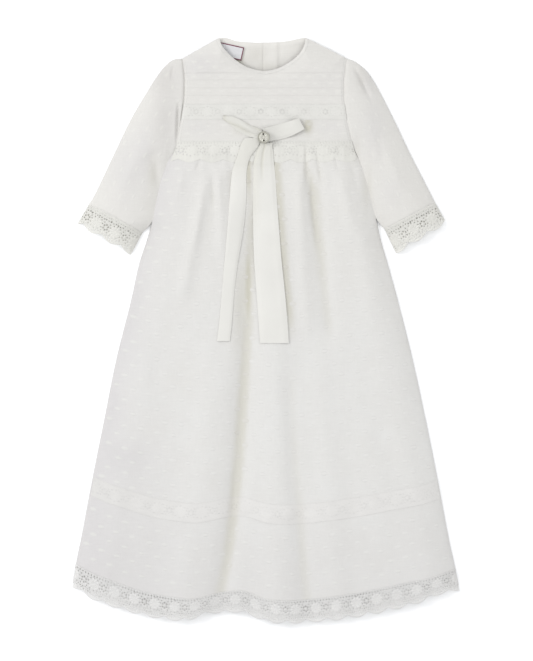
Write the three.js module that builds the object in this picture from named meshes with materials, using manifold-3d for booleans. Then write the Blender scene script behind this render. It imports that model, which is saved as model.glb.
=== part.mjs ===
// Christening gown laid flat on its back: dotted-swiss yoke, sleeves and gathered
// skirt, cotton lace at cuffs, yoke, waist, skirt and hem, and a ribbon bow with a
// small button. Millimetres; +X is the right of the view, +Y runs to the neck, +Z is
// up. The gown rests on z = 0.
import * as THREE from 'three';
import Module from 'manifold-3d';
import { mergeVertices } from 'three/addons/utils/BufferGeometryUtils.js';

// ---- driving sizes -------------------------------------------------------------
const CLOTH = 1.4;            // cloth wall
const LACE = 1.2;             // lace wall
const RIBBON = 1.2;           // ribbon wall
const GAP = 0.3;              // between pieces at a seam
const HEM_GAP = 0.5;          // between skirt edge and hem lace
const PUFF = 12;              // rise of the front over the back, away from the edges
const EDGE_ROLL = 38;         // distance in which the front rises from an edge
const WAIST_Y = 234.65;       // empire seam
const COLUMNS = 30;           // grid columns across yoke and skirt
const SHOULDER_COLUMNS = 5;   // of those, under each shoulder
const SLEEVE_STATIONS = 8;    // sections along a sleeve
const WAIST_SCALLOP = 3;      // columns in a scallop of the waist lace
const SCALLOP_STEPS = 4;      // segments in a scallop of hem and cuff lace
const HEM_SCALLOPS = 19;      // scallops across the front hem
const CUFF_SCALLOPS = 3;      // scallops across a flattened cuff
const CUFF_VALLEY = 0.1;      // first valley across a flattened cuff
const CUFF_REPEAT = 0.38;     // step of the cuff's scallops, as a part of its width
const SCALLOP_DEPTH = 2.6;    // depth of a hem or cuff scallop
const WAIST_SCALLOP_DEPTH = 4;
const PLACKET = { left: -3.9, right: 13, step: 5 };  // overlap at the centre back
const LABEL = { x: -45, y: 363, w: 32, h: 19, tilt: -0.22, thick: 1 };
const KNOT = { x: -3.2, y: 251.5, halfX: 7, halfY: 7.5, high: 7 };
const BUTTON = { x: -3.1, y: 250.5, r: 8, thick: 2.4, rim: 1.1, lift: 0.7, hole: 0.95, holeAt: 4.2 };

// ---- outline tables, a row per station -----------------------------------------
const ARMHOLE = [
  { y: 353.6, left: -109.2, right: 105.3 },
  { y: 344.2, left: -107.6, right: 103.9 },
  { y: 334.8, left: -106.5, right: 102.7 },
  { y: 323.9, left: -105.8, right: 101.5 },
  { y: 304.5, left: -106.3, right: 101.5 },
  { y: 294.5, left: -107.3, right: 102.2 },
  { y: 273.7, left: -110.5, right: 105.2 },
  { y: 260.0, left: -113.0, right: 108.1 },
  { y: 246.3, left: -115.4, right: 111.8 },
  { y: WAIST_Y, left: -117.3, right: 115.0 },
];
const SHOULDER = { neckL: [-61.1, 380.8], tipL: [-109.2, 353.6], neckR: [51.4, 381.0], tipR: [105.3, 353.6] };
const NECK_FRONT = [
  { x: -61.1, y: 380.8 },
  { x: -57.2, y: 370.5 },
  { x: -49.4, y: 360.8 },
  { x: -37.7, y: 350.4 },
  { x: -24.7, y: 342.6 },
  { x: -11.7, y: 338.7 },
  { x: 0.0, y: 337.4 },
  { x: 14.3, y: 340.5 },
  { x: 26.0, y: 346.2 },
  { x: 37.1, y: 353.6 },
  { x: 45.5, y: 362.7 },
  { x: 49.8, y: 371.2 },
  { x: 51.4, y: 381.0 },
];
const NECK_BACK = [
  { x: -61.1, y: 380.8 },
  { x: -52.0, y: 380.9 },
  { x: -39.0, y: 376.9 },
  { x: -20.8, y: 375.1 },
  { x: 0.0, y: 374.8 },
  { x: 18.2, y: 375.6 },
  { x: 33.8, y: 377.8 },
  { x: 44.2, y: 380.2 },
  { x: 51.4, y: 381.0 },
];
const SKIRT_SIDE = [
  { y: WAIST_Y, left: -117.3, right: 115.0 },
  { y: 220.3, left: -127.4, right: 121.5 },
  { y: 193.1, left: -137.3, right: 130.4 },
  { y: 164.5, left: -143.5, right: 137.5 },
  { y: 142.3, left: -147.9, right: 143.8 },
  { y: 117.7, left: -155.0, right: 149.5 },
  { y: 86.5, left: -165.1, right: 158.6 },
  { y: 39.6, left: -175.5, right: 171.6 },
  { y: -38.4, left: -195.0, right: 191.1 },
  { y: -116.4, left: -210.6, right: 208.0 },
  { y: -194.3, left: -226.2, right: 223.6 },
  { y: -272.4, left: -241.0, right: 238.3 },
  { y: -306.2, left: -247.9, right: 245.7 },
  { y: -337.4, left: -252.5, right: 252.2 },
];
const HEM = [
  { x: -247.9, y: -305.5, drop: 28.6 },
  { x: -222.3, y: -318.2, drop: 31.5 },
  { x: -195.0, y: -328.2, drop: 31.9 },
  { x: -166.4, y: -338.7, drop: 29.9 },
  { x: -140.4, y: -344.6, drop: 29.9 },
  { x: -101.4, y: -349.7, drop: 27.9 },
  { x: -80.6, y: -347.1, drop: 22.8 },
  { x: -57.2, y: -341.2, drop: 26.7 },
  { x: -29.9, y: -339.9, drop: 27.9 },
  { x: 0.0, y: -349.7, drop: 29.2 },
  { x: 39.0, y: -351.7, drop: 29.2 },
  { x: 111.8, y: -343.2, drop: 30.6 },
  { x: 188.5, y: -327.7, drop: 29.2 },
  { x: 217.1, y: -321.8, drop: 23.4 },
  { x: 246.3, y: -311.4, drop: 27.3 },
];
const SLEEVE_OUT = [
  { leftX: -109.2, leftY: 353.6, rightX: 105.3, rightY: 353.6 },
  { leftX: -119.6, leftY: 352.7, rightX: 113.1, rightY: 351.4 },
  { leftX: -130.0, leftY: 345.4, rightX: 123.5, rightY: 344.5 },
  { leftX: -140.4, leftY: 332.8, rightX: 133.9, rightY: 334.1 },
  { leftX: -153.4, leftY: 312.7, rightX: 146.9, rightY: 312.7 },
  { leftX: -176.2, leftY: 273.7, rightX: 166.8, rightY: 273.7 },
  { leftX: -198.9, leftY: 226.8, rightX: 189.2, rightY: 226.8 },
  { leftX: -221.0, leftY: 180.1, rightX: 213.2, rightY: 180.1 },
  { leftX: -230.5, leftY: 164.2, rightX: 220.1, rightY: 166.3 },
];
const SLEEVE_IN = [
  { leftX: -118.3, leftY: 235.6, rightX: 116.2, rightY: 235.7 },
  { leftX: -128.7, leftY: 220.3, rightX: 123.5, rightY: 220.3 },
  { leftX: -138.8, leftY: 193.1, rightX: 132.9, rightY: 193.1 },
  { leftX: -144.8, leftY: 164.5, rightX: 140.9, rightY: 164.5 },
  { leftX: -149.8, leftY: 142.3, rightX: 146.4, rightY: 146.2 },
  { leftX: -160.8, leftY: 127.3, rightX: 154.2, rightY: 132.0 },
];
const CUFF_END = { leftOut: [-244.4, 140.4], leftIn: [-174.8, 100.8], rightOut: [234.0, 141.7], rightIn: [168.5, 102.0] };
// rows of the yoke grid below the neck: y, and the lift of a tuck's folded edge there
const YOKE_ROWS = [
  { y: 334.8, lift: 0.9 },
  { y: 333.4, lift: 0 },
  { y: 325.3, lift: 0.9 },
  { y: 323.9, lift: 0 },
  { y: 315.6, lift: 0.9 },
  { y: 314.2, lift: 0 },
  { y: 305.9, lift: 0.9 },
  { y: 304.5, lift: 0 },
  { y: 294.5, lift: 0 },
  { y: 273.7, lift: 0 },
  { y: 260.0, lift: 0 },
  { y: 246.3, lift: 0 },
  { y: WAIST_Y + GAP / 2, lift: 0 },
];
const YOKE_TOP_ROWS = 2;       // grid strips from shoulder and neckline down to the first row
const YOKE_LACE_ROW = 8;       // row of the yoke table where the yoke lace starts
const WAIST_LACE_ROW = 11;     // and the waist lace
// rows of the skirt grid, as parts of the way from waist to hem
const SKIRT_ROWS = [0, 0.027, 0.065, 0.12, 0.2, 0.3, 0.41, 0.52, 0.63, 0.715, 0.785, 0.83, 0.91, 1];
const INSERTION_ROW = 10;      // row where the lace band above the hem starts
// soft folds of the front: start, middle and end of the line, half width, rise
const FOLDS = [
  { name: 'main_trough', x0: -15.6, y0: 215.2, x1: -34.5, y1: -160.0, x2: -61.0, y2: -358.2, width: 14.0, rise: -5.0 },
  { name: 'main_ridge', x0: 7.8, y0: 208.7, x1: 14.3, y1: -90.4, x2: 15.6, y2: -358.2, width: 26.0, rise: 5.0 },
  { name: 'left_hem_ridge', x0: -67.6, y0: 0.7, x1: -76.7, y1: -142.3, x2: -109.2, y2: -366.0, width: 24.0, rise: 3.2 },
  { name: 'second_trough', x0: 27.3, y0: -18.9, x1: 36.4, y1: -168.4, x2: 53.3, y2: -358.2, width: 11.0, rise: -2.2 },
  { name: 'second_ridge', x0: 62.4, y0: 0.7, x1: 76.7, y1: -142.3, x2: 93.6, y2: -358.2, width: 19.0, rise: 2.6 },
  { name: 'middle_ridge', x0: 40.3, y0: 215.2, x1: 46.8, y1: 98.2, x2: 54.6, y2: -18.9, width: 10.0, rise: 2.4 },
  { name: 'right_trough', x0: 62.4, y0: 221.7, x1: 72.8, y1: 94.3, x2: 85.8, y2: -31.9, width: 10.4, rise: -3.0 },
  { name: 'right_ridge', x0: 100.1, y0: 211.3, x1: 136.5, y1: 89.1, x2: 157.3, y2: 11.0, width: 16.0, rise: 2.4 },
  { name: 'left_ridge_outer', x0: -75.4, y0: 215.2, x1: -88.4, y1: 142.3, x2: -113.0, y2: 26.7, width: 9.5, rise: 2.8 },
  { name: 'left_ridge_inner', x0: -62.4, y0: 215.2, x1: -58.5, y1: 150.2, x2: -58.5, y2: 89.0, width: 7.2, rise: 2.0 },
  { name: 'elbow_trough_left', x0: -149.5, y0: 234.7, x1: -141.7, y1: 206.1, x2: -137.8, y2: 182.7, width: 8.5, rise: -2.5 },
  { name: 'cap_trough_right', x0: 114.4, y0: 343.9, x1: 123.5, y1: 328.2, x2: 132.6, y2: 302.2, width: 6.5, rise: -2.0 },
];
const FOLD_FADE = 0.18;        // part of a fold's length in which it fades at either end
// ribbon tails: a row per section, left and right edge of what shows
const TAIL_LEFT = [
  { y: 243.4, left: -10.0, right: -4.2 },
  { y: 236.0, left: -20.0, right: -9.5 },
  { y: 226.5, left: -31.0, right: -15.5 },
  { y: 216.0, left: -39.0, right: -20.5 },
  { y: 204.0, left: -44.2, right: -26.0 },
  { y: 170.0, left: -47.2, right: -29.0 },
  { y: 130.0, left: -50.4, right: -32.6 },
  { y: 90.0, left: -53.8, right: -36.6 },
  { y: 50.0, left: -57.2, right: -40.6 },
  { y: 15.0, left: -60.2, right: -44.0 },
  { y: -13.8, left: -63.7, right: -46.8 },
];
const TAIL_RIGHT = [
  { y: 243.4, left: -3.2, right: 3.0 },
  { y: 239.0, left: -5.5, right: 4.2 },
  { y: 230.0, left: -11.5, right: 7.4 },
  { y: 221.0, left: -16.9, right: 9.1 },
  { y: 200.0, left: -17.2, right: 11.9 },
  { y: 170.0, left: -17.0, right: 14.0 },
  { y: 130.0, left: -16.6, right: 17.0 },
  { y: 90.0, left: -15.2, right: 19.6 },
  { y: 50.0, left: -12.4, right: 23.2 },
  { y: 15.0, left: -10.0, right: 26.2 },
  { y: -16.4, left: -7.8, right: 28.6 },
];
// bow loops: the corners of what shows, at the knot and at the rounded end
const LOOP_LEFT = { knotTop: [-12.2, 264.0], knotLow: [-12.2, 248.4], endTop: [-55.9, 277.5], endLow: [-57.2, 252.8], high: 8.5 };
const LOOP_RIGHT = { knotTop: [1.5, 271.5], knotLow: [7.0, 247.6], endTop: [43.0, 275.3], endLow: [50.0, 261.3], high: 9.5 };

// ---- helpers -------------------------------------------------------------------
const lerp = THREE.MathUtils.lerp;

// smooth value of a column at a key, through a table sorted by that key
function smoothAt(table, key, column, value) {
  const up = table[table.length - 1][key] > table[0][key];
  let i = 0;
  while (i < table.length - 2 && (up ? value > table[i + 1][key] : value < table[i + 1][key])) i++;
  const slope = (k) => {
    const a = table[Math.max(k - 1, 0)], b = table[Math.min(k + 1, table.length - 1)];
    return (b[column] - a[column]) / (b[key] - a[key]);
  };
  const a = table[i], b = table[i + 1], h = b[key] - a[key];
  const t = THREE.MathUtils.clamp((value - a[key]) / h, 0, 1), t2 = t * t, t3 = t2 * t;
  return (2 * t3 - 3 * t2 + 1) * a[column] + (t3 - 2 * t2 + t) * h * slope(i)
    + (3 * t2 - 2 * t3) * b[column] + (t3 - t2) * h * slope(i + 1);
}

// straight value between rows
function straightAt(table, key, column, value) {
  const up = table[table.length - 1][key] > table[0][key];
  let i = 0;
  while (i < table.length - 2 && (up ? value > table[i + 1][key] : value < table[i + 1][key])) i++;
  const a = table[i], b = table[i + 1];
  return lerp(a[column], b[column], THREE.MathUtils.clamp((value - a[key]) / (b[key] - a[key]), 0, 1));
}

// curve through the points of a table, read by its length
function lineOf(points) {
  const curve = new THREE.SplineCurve(points.map(([x, y]) => new THREE.Vector2(x, y)));
  return (t) => curve.getPointAt(THREE.MathUtils.clamp(t, 0, 1));
}

const sleeveSide = {
  left: { out: SLEEVE_OUT.map((r) => [r.leftX, r.leftY]), in: SLEEVE_IN.map((r) => [r.leftX, r.leftY]), cuffOut: CUFF_END.leftOut, cuffIn: CUFF_END.leftIn },
  right: { out: SLEEVE_OUT.map((r) => [r.rightX, r.rightY]), in: SLEEVE_IN.map((r) => [r.rightX, r.rightY]), cuffOut: CUFF_END.rightOut, cuffIn: CUFF_END.rightIn },
};

// lines along which front and back meet: shoulders, sleeve edges and skirt sides
const edges = [
  [SHOULDER.neckL, SHOULDER.tipL],
  [SHOULDER.neckR, SHOULDER.tipR],
  [...sleeveSide.left.out, CUFF_END.leftOut],
  [...sleeveSide.right.out, CUFF_END.rightOut],
  [...sleeveSide.left.in, CUFF_END.leftIn],
  [...sleeveSide.right.in, CUFF_END.rightIn],
  SKIRT_SIDE.map((r) => [r.left, r.y]),
  SKIRT_SIDE.map((r) => [r.right, r.y]),
];

// distance to a polyline and the part of its length at the nearest point
function toLine(line, x, y) {
  let best = Infinity, at = 0, run = 0;
  for (let i = 0; i + 1 < line.length; i++) {
    const [ax, ay] = line[i], [bx, by] = line[i + 1];
    const dx = bx - ax, dy = by - ay, len = Math.hypot(dx, dy);
    const t = THREE.MathUtils.clamp(((x - ax) * dx + (y - ay) * dy) / (len * len), 0, 1);
    const d = Math.hypot(x - ax - t * dx, y - ay - t * dy);
    if (d < best) { best = d; at = run + t * len; }
    run += len;
  }
  return { d: best, part: at / run };
}

const foldLines = FOLDS.map((f) => {
  const curve = new THREE.SplineCurve([[f.x0, f.y0], [f.x1, f.y1], [f.x2, f.y2]].map(([x, y]) => new THREE.Vector2(x, y)));
  return curve.getPoints(8).map((p) => [p.x, p.y]);
});

function foldHeight(x, y) {
  let z = 0;
  FOLDS.forEach((f, i) => {
    const { d, part } = toLine(foldLines[i], x, y);
    if (d > 3 * f.width) return;
    const open = f.y2 < HEM[4].y;      // a fold that runs out at the hem keeps its height there
    const fade = THREE.MathUtils.smoothstep(part, 0, FOLD_FADE)
      * (open ? 1 : 1 - THREE.MathUtils.smoothstep(part, 1 - FOLD_FADE, 1));
    z += f.rise * Math.exp(-((d / f.width) ** 2)) * fade;
  });
  return z;
}

// underside of the front cloth at a point of the plan
function under(x, y) {
  const d = Math.min(...edges.map((e) => toLine(e, x, y).d));
  const near = Math.min(d / EDGE_ROLL, 1);
  return CLOTH + GAP + PUFF * (1 - (1 - near) ** 2) + foldHeight(x, y) * near;
}

const v3 = (x, y, z) => new THREE.Vector3(x, y, z);
const raised = (grid, dz) => grid.map((row) => row.map((p) => v3(p.x, p.y, p.z + dz)));

// closed wall between two grids of the same size; wrapped grids close on themselves across
function shell(gridA, gridB, wrapped = false) {
  const R = gridA.length, C = gridA[0].length, pos = [], idx = [];
  for (const grid of [gridA, gridB]) for (const row of grid) for (const p of row) pos.push(p.x, p.y, p.z);
  const a = (r, c) => r * C + (c % C), b = (r, c) => R * C + r * C + (c % C);
  const quad = (p, q, s, t) => idx.push(p, q, s, p, s, t);
  const last = wrapped ? C : C - 1;
  for (let r = 0; r + 1 < R; r++) for (let c = 0; c < last; c++) {
    quad(a(r, c), a(r + 1, c), a(r + 1, c + 1), a(r, c + 1));
    const [p, q, s, t] = [b(r, c), b(r + 1, c), b(r + 1, c + 1), b(r, c + 1)];
    idx.push(p, s, q, p, t, s);
  }
  for (let c = 0; c < last; c++) {
    quad(a(0, c), a(0, c + 1), b(0, c + 1), b(0, c));
    quad(a(R - 1, c + 1), a(R - 1, c), b(R - 1, c), b(R - 1, c + 1));
  }
  if (!wrapped) for (let r = 0; r + 1 < R; r++) {
    quad(a(r + 1, 0), a(r, 0), b(r, 0), b(r + 1, 0));
    quad(a(r, C - 1), a(r + 1, C - 1), b(r + 1, C - 1), b(r, C - 1));
  }
  let volume = 0;
  const P = (i) => v3(pos[3 * i], pos[3 * i + 1], pos[3 * i + 2]);
  for (let i = 0; i < idx.length; i += 3) volume += P(idx[i]).dot(P(idx[i + 1]).cross(P(idx[i + 2])));
  if (volume < 0) for (let i = 0; i < idx.length; i += 3) [idx[i + 1], idx[i + 2]] = [idx[i + 2], idx[i + 1]];
  const g = new THREE.BufferGeometry();
  g.setAttribute('position', new THREE.Float32BufferAttribute(pos, 3));
  g.setIndex(idx);
  g.computeVertexNormals();
  return g;
}

// flat wall of an outline, standing on z
function plate(outline, z, thick) {
  const g = new THREE.ExtrudeGeometry(new THREE.Shape(outline.map((p) => new THREE.Vector2(p.x, p.y))), { depth: thick, bevelEnabled: false });
  return g.translate(0, 0, z);
}

// ---- materials and nodes -------------------------------------------------------
const look = (color, roughness, metalness = 0) => () => new THREE.MeshStandardMaterial({ color, roughness, metalness });
const swiss = look(0xf2f0ea, 0.9), lace = look(0xf0eee6, 0.92), ribbon = look(0xf3f1e4, 0.6);
const pewter = look(0xa9a69a, 0.4, 0.9), woven = look(0xf4f2f2, 0.8);

const gown = new THREE.Group();
function piece(name, geometry, material) {
  const mesh = new THREE.Mesh(geometry, material());
  mesh.name = name;
  gown.add(mesh);
  return mesh;
}

// ---- yoke ----------------------------------------------------------------------
const neckFront = lineOf(NECK_FRONT.map((r) => [r.x, r.y]));
const neckBack = lineOf(NECK_BACK.map((r) => [r.x, r.y]));
const armLeft = (y) => straightAt(ARMHOLE, 'y', 'left', y) + GAP / 2;
const armRight = (y) => straightAt(ARMHOLE, 'y', 'right', y) - GAP / 2;

// top edge of front or back yoke at a column: shoulder, neckline, shoulder
function yokeTop(c, neck, columns, shoulder) {
  if (c <= shoulder) {
    const t = c / shoulder;
    return new THREE.Vector2(lerp(SHOULDER.tipL[0] + GAP / 2, SHOULDER.neckL[0], t), lerp(SHOULDER.tipL[1], SHOULDER.neckL[1], t));
  }
  if (c >= columns - shoulder) {
    const t = (columns - c) / shoulder;
    return new THREE.Vector2(lerp(SHOULDER.tipR[0] - GAP / 2, SHOULDER.neckR[0], t), lerp(SHOULDER.tipR[1], SHOULDER.neckR[1], t));
  }
  return neck((c - shoulder) / (columns - 2 * shoulder));
}

const yokeGrid = [];
for (let r = 0; r < YOKE_TOP_ROWS; r++) {
  const row = [];
  for (let c = 0; c <= COLUMNS; c++) {
    const top = yokeTop(c, neckFront, COLUMNS, SHOULDER_COLUMNS), first = YOKE_ROWS[0].y;
    const y = lerp(top.y, first, r / YOKE_TOP_ROWS);
    let x = lerp(top.x, lerp(armLeft(first), armRight(first), c / COLUMNS), r / YOKE_TOP_ROWS);
    if (c === 0) x = armLeft(y);
    if (c === COLUMNS) x = armRight(y);
    row.push(v3(x, y, under(x, y)));
  }
  yokeGrid.push(row);
}
for (const { y, lift } of YOKE_ROWS) {
  const row = [];
  for (let c = 0; c <= COLUMNS; c++) {
    const x = lerp(armLeft(y), armRight(y), c / COLUMNS);
    row.push(v3(x, y, under(x, y) + lift));
  }
  yokeGrid.push(row);
}
piece('yoke_front', shell(yokeGrid, raised(yokeGrid, CLOTH)), swiss);

// back halves: flat, the right one stepping up over the left at the placket
function backHalf(from, to, height) {
  const rows = [0, 0.25, 0.5, 0.72, 1], columns = [];
  for (let i = 0; i <= 8; i++) columns.push(lerp(from, to, i / 8));
  const neckX = (x) => smoothAt(NECK_BACK, 'x', 'y', x);
  const xs = height ? [from, from + PLACKET.right - PLACKET.left, from + PLACKET.right - PLACKET.left + PLACKET.step, 36, 44.2, SHOULDER.neckR[0], 78, SHOULDER.tipR[0] - GAP / 2]
    : [SHOULDER.tipL[0] + GAP / 2, -85, SHOULDER.neckL[0], -52, -39, -20.8, 0, to];
  const topY = (x) => (x < SHOULDER.neckL[0] ? lerp(SHOULDER.tipL[1], SHOULDER.neckL[1], (x - SHOULDER.tipL[0]) / (SHOULDER.neckL[0] - SHOULDER.tipL[0]))
    : x > SHOULDER.neckR[0] ? lerp(SHOULDER.tipR[1], SHOULDER.neckR[1], (SHOULDER.tipR[0] - x) / (SHOULDER.tipR[0] - SHOULDER.neckR[0])) : neckX(x));
  const low = WAIST_Y + GAP / 2;
  const ys = ARMHOLE.map((r) => Math.max(r.y, low));
  return ys.map((y, r) => xs.map((x0, c) => {
    const part = (y - low) / (ys[0] - low);
    const edge = height ? c === xs.length - 1 : c === 0;
    const arm = height ? armRight(y) : armLeft(y), armTop = height ? armRight(ys[0]) : armLeft(ys[0]);
    const inner = height ? from + PLACKET.right - PLACKET.left + PLACKET.step : to;
    const stays = height ? c < 3 : c === xs.length - 1;
    const x = edge ? arm : stays ? x0 : x0 + (arm - armTop) * (x0 - inner) / (armTop - inner);
    const yy = edge ? y : lerp(low, topY(x0), part);
    return v3(x, yy, height && c < 2 ? height : 0);
  }));
}
const backLeft = backHalf(SHOULDER.tipL[0], PLACKET.right, 0);
const backRight = backHalf(PLACKET.left, SHOULDER.tipR[0], CLOTH + GAP);
piece('yoke_back_left', shell(backLeft, raised(backLeft, CLOTH)), swiss);
piece('yoke_back_right', shell(backRight, raised(backRight, CLOTH)), swiss);

// ---- skirt ---------------------------------------------------------------------
const skirtTop = WAIST_Y - GAP / 2;
const sideAt = (side, y) => smoothAt(SKIRT_SIDE, 'y', side, y);
const hemX = (u) => lerp(HEM[0].x, HEM[HEM.length - 1].x, u);
const hemY = (u) => smoothAt(HEM, 'x', 'y', hemX(u));

// plan of the skirt: across by u, from the waist down to the hem by v
function skirtPlan(u, v) {
  const yl = lerp(skirtTop, HEM[0].y, v), yr = lerp(skirtTop, HEM[HEM.length - 1].y, v);
  const y = lerp(skirtTop, hemY(u), v);
  const xl = sideAt('left', yl), xr = sideAt('right', yr);
  return new THREE.Vector2(lerp(xl, xr, u), y);
}
const skirtGrid = SKIRT_ROWS.map((v) => Array.from({ length: COLUMNS + 1 }, (_, c) => {
  const p = skirtPlan(c / COLUMNS, v);
  return v3(p.x, p.y, under(p.x, p.y));
}));
piece('skirt_front', shell(skirtGrid, raised(skirtGrid, CLOTH)), swiss);

const hemRow = skirtGrid[skirtGrid.length - 1];
const sideRows = SKIRT_ROWS.slice(1, -1);
const skirtOutline = [
  skirtPlan(0, 0), ...sideRows.map((v) => skirtPlan(0, v)),
  ...hemRow.map((p) => new THREE.Vector2(p.x, p.y)),
  ...sideRows.toReversed().map((v) => skirtPlan(1, v)), skirtPlan(1, 0),
];
piece('skirt_back', plate(skirtOutline, 0, CLOTH), swiss);

// ---- hem lace: hangs on from the skirt's own edge points ---------------------------
const hemSteps = HEM_SCALLOPS * SCALLOP_STEPS;
function hemPoint(k) {
  const at = (k / hemSteps) * COLUMNS, i = Math.min(Math.floor(at), COLUMNS - 1);
  return hemRow[i].clone().lerp(hemRow[i + 1], at - i);
}
const scallop = (turn) => SCALLOP_DEPTH * Math.abs(Math.sin(Math.PI * turn));
const hemTopRow = [], hemLowRow = [];
for (let k = 0; k <= hemSteps; k++) {
  const u = k / hemSteps, p = hemPoint(k);
  const drop = smoothAt(HEM, 'x', 'drop', hemX(u)) - SCALLOP_DEPTH + scallop(k / SCALLOP_STEPS + 0.5);
  const lean = lerp(-0.145, 0.2, u);
  hemTopRow.push(v3(p.x, p.y - HEM_GAP, p.z));
  const x = p.x + lean * drop, y = p.y - drop;
  hemLowRow.push(v3(x, y, p.z - 0.4));
}
const hemGrid = [hemTopRow, hemLowRow];
piece('hem_lace_front', shell(hemGrid, raised(hemGrid, LACE)), lace);
const backHem = hemGrid.map((row, r) => row.map((p) => v3(p.x, p.y + (r ? 2 : 0), 0)));
piece('hem_lace_back', shell(backHem, raised(backHem, LACE)), lace);

// ---- lace laid on the panels, from their own points ------------------------------
const onTop = CLOTH + GAP;
const yokeRow = (i) => yokeGrid[YOKE_TOP_ROWS + i];
const yokeLace = raised([yokeRow(YOKE_LACE_ROW), yokeRow(YOKE_LACE_ROW + 1)], onTop);
piece('yoke_lace', shell(yokeLace, raised(yokeLace, LACE)), lace);

const waistLow = skirtGrid[1].map((p, c) => p.clone().lerp(skirtGrid[0][c],
  (WAIST_SCALLOP_DEPTH / (skirtGrid[0][c].y - p.y)) * (1 - Math.abs(Math.sin((Math.PI * c) / WAIST_SCALLOP)))));
const waistLace = raised([yokeRow(WAIST_LACE_ROW), yokeRow(WAIST_LACE_ROW + 1), waistLow], onTop);
piece('waist_lace', shell(waistLace, raised(waistLace, LACE)), lace);

const insertion = raised([skirtGrid[INSERTION_ROW], skirtGrid[INSERTION_ROW + 1]], onTop);
piece('insertion_lace', shell(insertion, raised(insertion, LACE)), lace);

// ---- sleeves and cuffs: flattened tubes --------------------------------------------
function sleeve(side) {
  const s = sleeveSide[side], sign = side === 'left' ? -1 : 1, K = ARMHOLE.length - 1;
  const out = lineOf(s.out), inn = lineOf(s.in);
  const arm = (c) => {
    const r = ARMHOLE[c];
    const y = c === K ? s.in[0][1] : r.y;
    return new THREE.Vector2(r[side] + (sign * GAP) / 2 + (c === K ? s.in[0][0] - r[side] - (sign * GAP) / 2 : 0), y);
  };
  const cuffA = s.out[s.out.length - 1], cuffB = s.in[s.in.length - 1];
  const cuff = (c) => new THREE.Vector2(lerp(cuffA[0], cuffB[0], c / K), lerp(cuffA[1], cuffB[1], c / K));
  // patch of the four edges
  const plan = (c, v) => {
    const u = c / K, a = arm(c), b = cuff(c), l = out(v), r = inn(v);
    const mix = (k) => (1 - v) * a[k] + v * b[k] + (1 - u) * l[k] + u * r[k]
      - ((1 - v) * (1 - u) * arm(0)[k] + (1 - v) * u * arm(K)[k] + v * (1 - u) * cuff(0)[k] + v * u * cuff(K)[k]);
    return new THREE.Vector2(mix('x'), mix('y'));
  };
  const outer = [], inner = [];
  for (let i = 0; i <= SLEEVE_STATIONS; i++) {
    const pts = Array.from({ length: K + 1 }, (_, c) => plan(c, i / SLEEVE_STATIONS));
    const { o, n } = flatTube(pts, CLOTH);
    outer.push(o); inner.push(n);
  }
  piece(`sleeve_${side}`, shell(outer, inner, true), swiss);

  // cuff lace
  const steps = CUFF_SCALLOPS * SCALLOP_STEPS, down = new THREE.Vector2().subVectors(
    new THREE.Vector2(...s.cuffOut).add(new THREE.Vector2(...s.cuffIn)), new THREE.Vector2(...cuffA).add(new THREE.Vector2(...cuffB))).normalize();
  const top = [], low = [];
  for (let k = 0; k <= steps; k++) {
    const u = k / steps;
    top.push(new THREE.Vector2(lerp(cuffA[0], cuffB[0], u), lerp(cuffA[1], cuffB[1], u)).addScaledVector(down, GAP + 0.1));
    low.push(new THREE.Vector2(lerp(s.cuffOut[0], s.cuffIn[0], u), lerp(s.cuffOut[1], s.cuffIn[1], u)).addScaledVector(down, scallop((u - CUFF_VALLEY) / CUFF_REPEAT) - SCALLOP_DEPTH / 2));
  }
  const a = flatTube(top, LACE), b = flatTube(low, LACE);
  piece(`cuff_lace_${side}`, shell([a.o, b.o], [a.n, b.n], true), lace);
}

// outer and inner loop of a tube pressed flat: lower wall on the surface, upper wall raised
function flatTube(pts, thick) {
  const K = pts.length - 1, inset = (i) => {
    const p = pts[i].clone();
    if (i === 0) p.add(pts[1].clone().sub(pts[0]).setLength(thick));
    if (i === K) p.add(pts[K - 1].clone().sub(pts[K]).setLength(thick));
    return p;
  };
  const o = [], n = [];
  for (let i = 0; i <= K; i++) { const q = inset(i); o.push(v3(pts[i].x, pts[i].y, 0)); n.push(v3(q.x, q.y, thick)); }
  for (let i = K; i >= 0; i--) {
    const q = inset(i), p = pts[i];
    const z = Math.max(under(p.x, p.y), CLOTH + GAP), zq = Math.max(under(q.x, q.y), thick + GAP);
    o.push(v3(p.x, p.y, z + thick)); n.push(v3(q.x, q.y, zq));
  }
  return { o, n };
}
sleeve('left');
sleeve('right');

// ---- label inside the back neck ----------------------------------------------------
const labelMesh = piece('label', new THREE.BoxGeometry(LABEL.w, LABEL.h, LABEL.thick), woven);
labelMesh.position.set(LABEL.x, LABEL.y, CLOTH + GAP + LABEL.thick / 2);
labelMesh.rotation.z = LABEL.tilt;

// ---- bow ---------------------------------------------------------------------------
// height of what lies under the ribbon, taken over a small window
function layTop(x, y, reachX, reachY) {
  let z = -Infinity;
  for (let i = -8; i <= 8; i++) for (let j = -5; j <= 5; j++) {
    const px = x + (i * reachX) / 8, py = y + (j * reachY) / 5;
    z = Math.max(z, under(px, py) + CLOTH + (py > skirtGrid[1][0].y - 4 ? GAP + LACE : 0));
  }
  return z + GAP + 0.1;
}
const bowZ = layTop(KNOT.x, KNOT.y, 56, 24);

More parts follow.
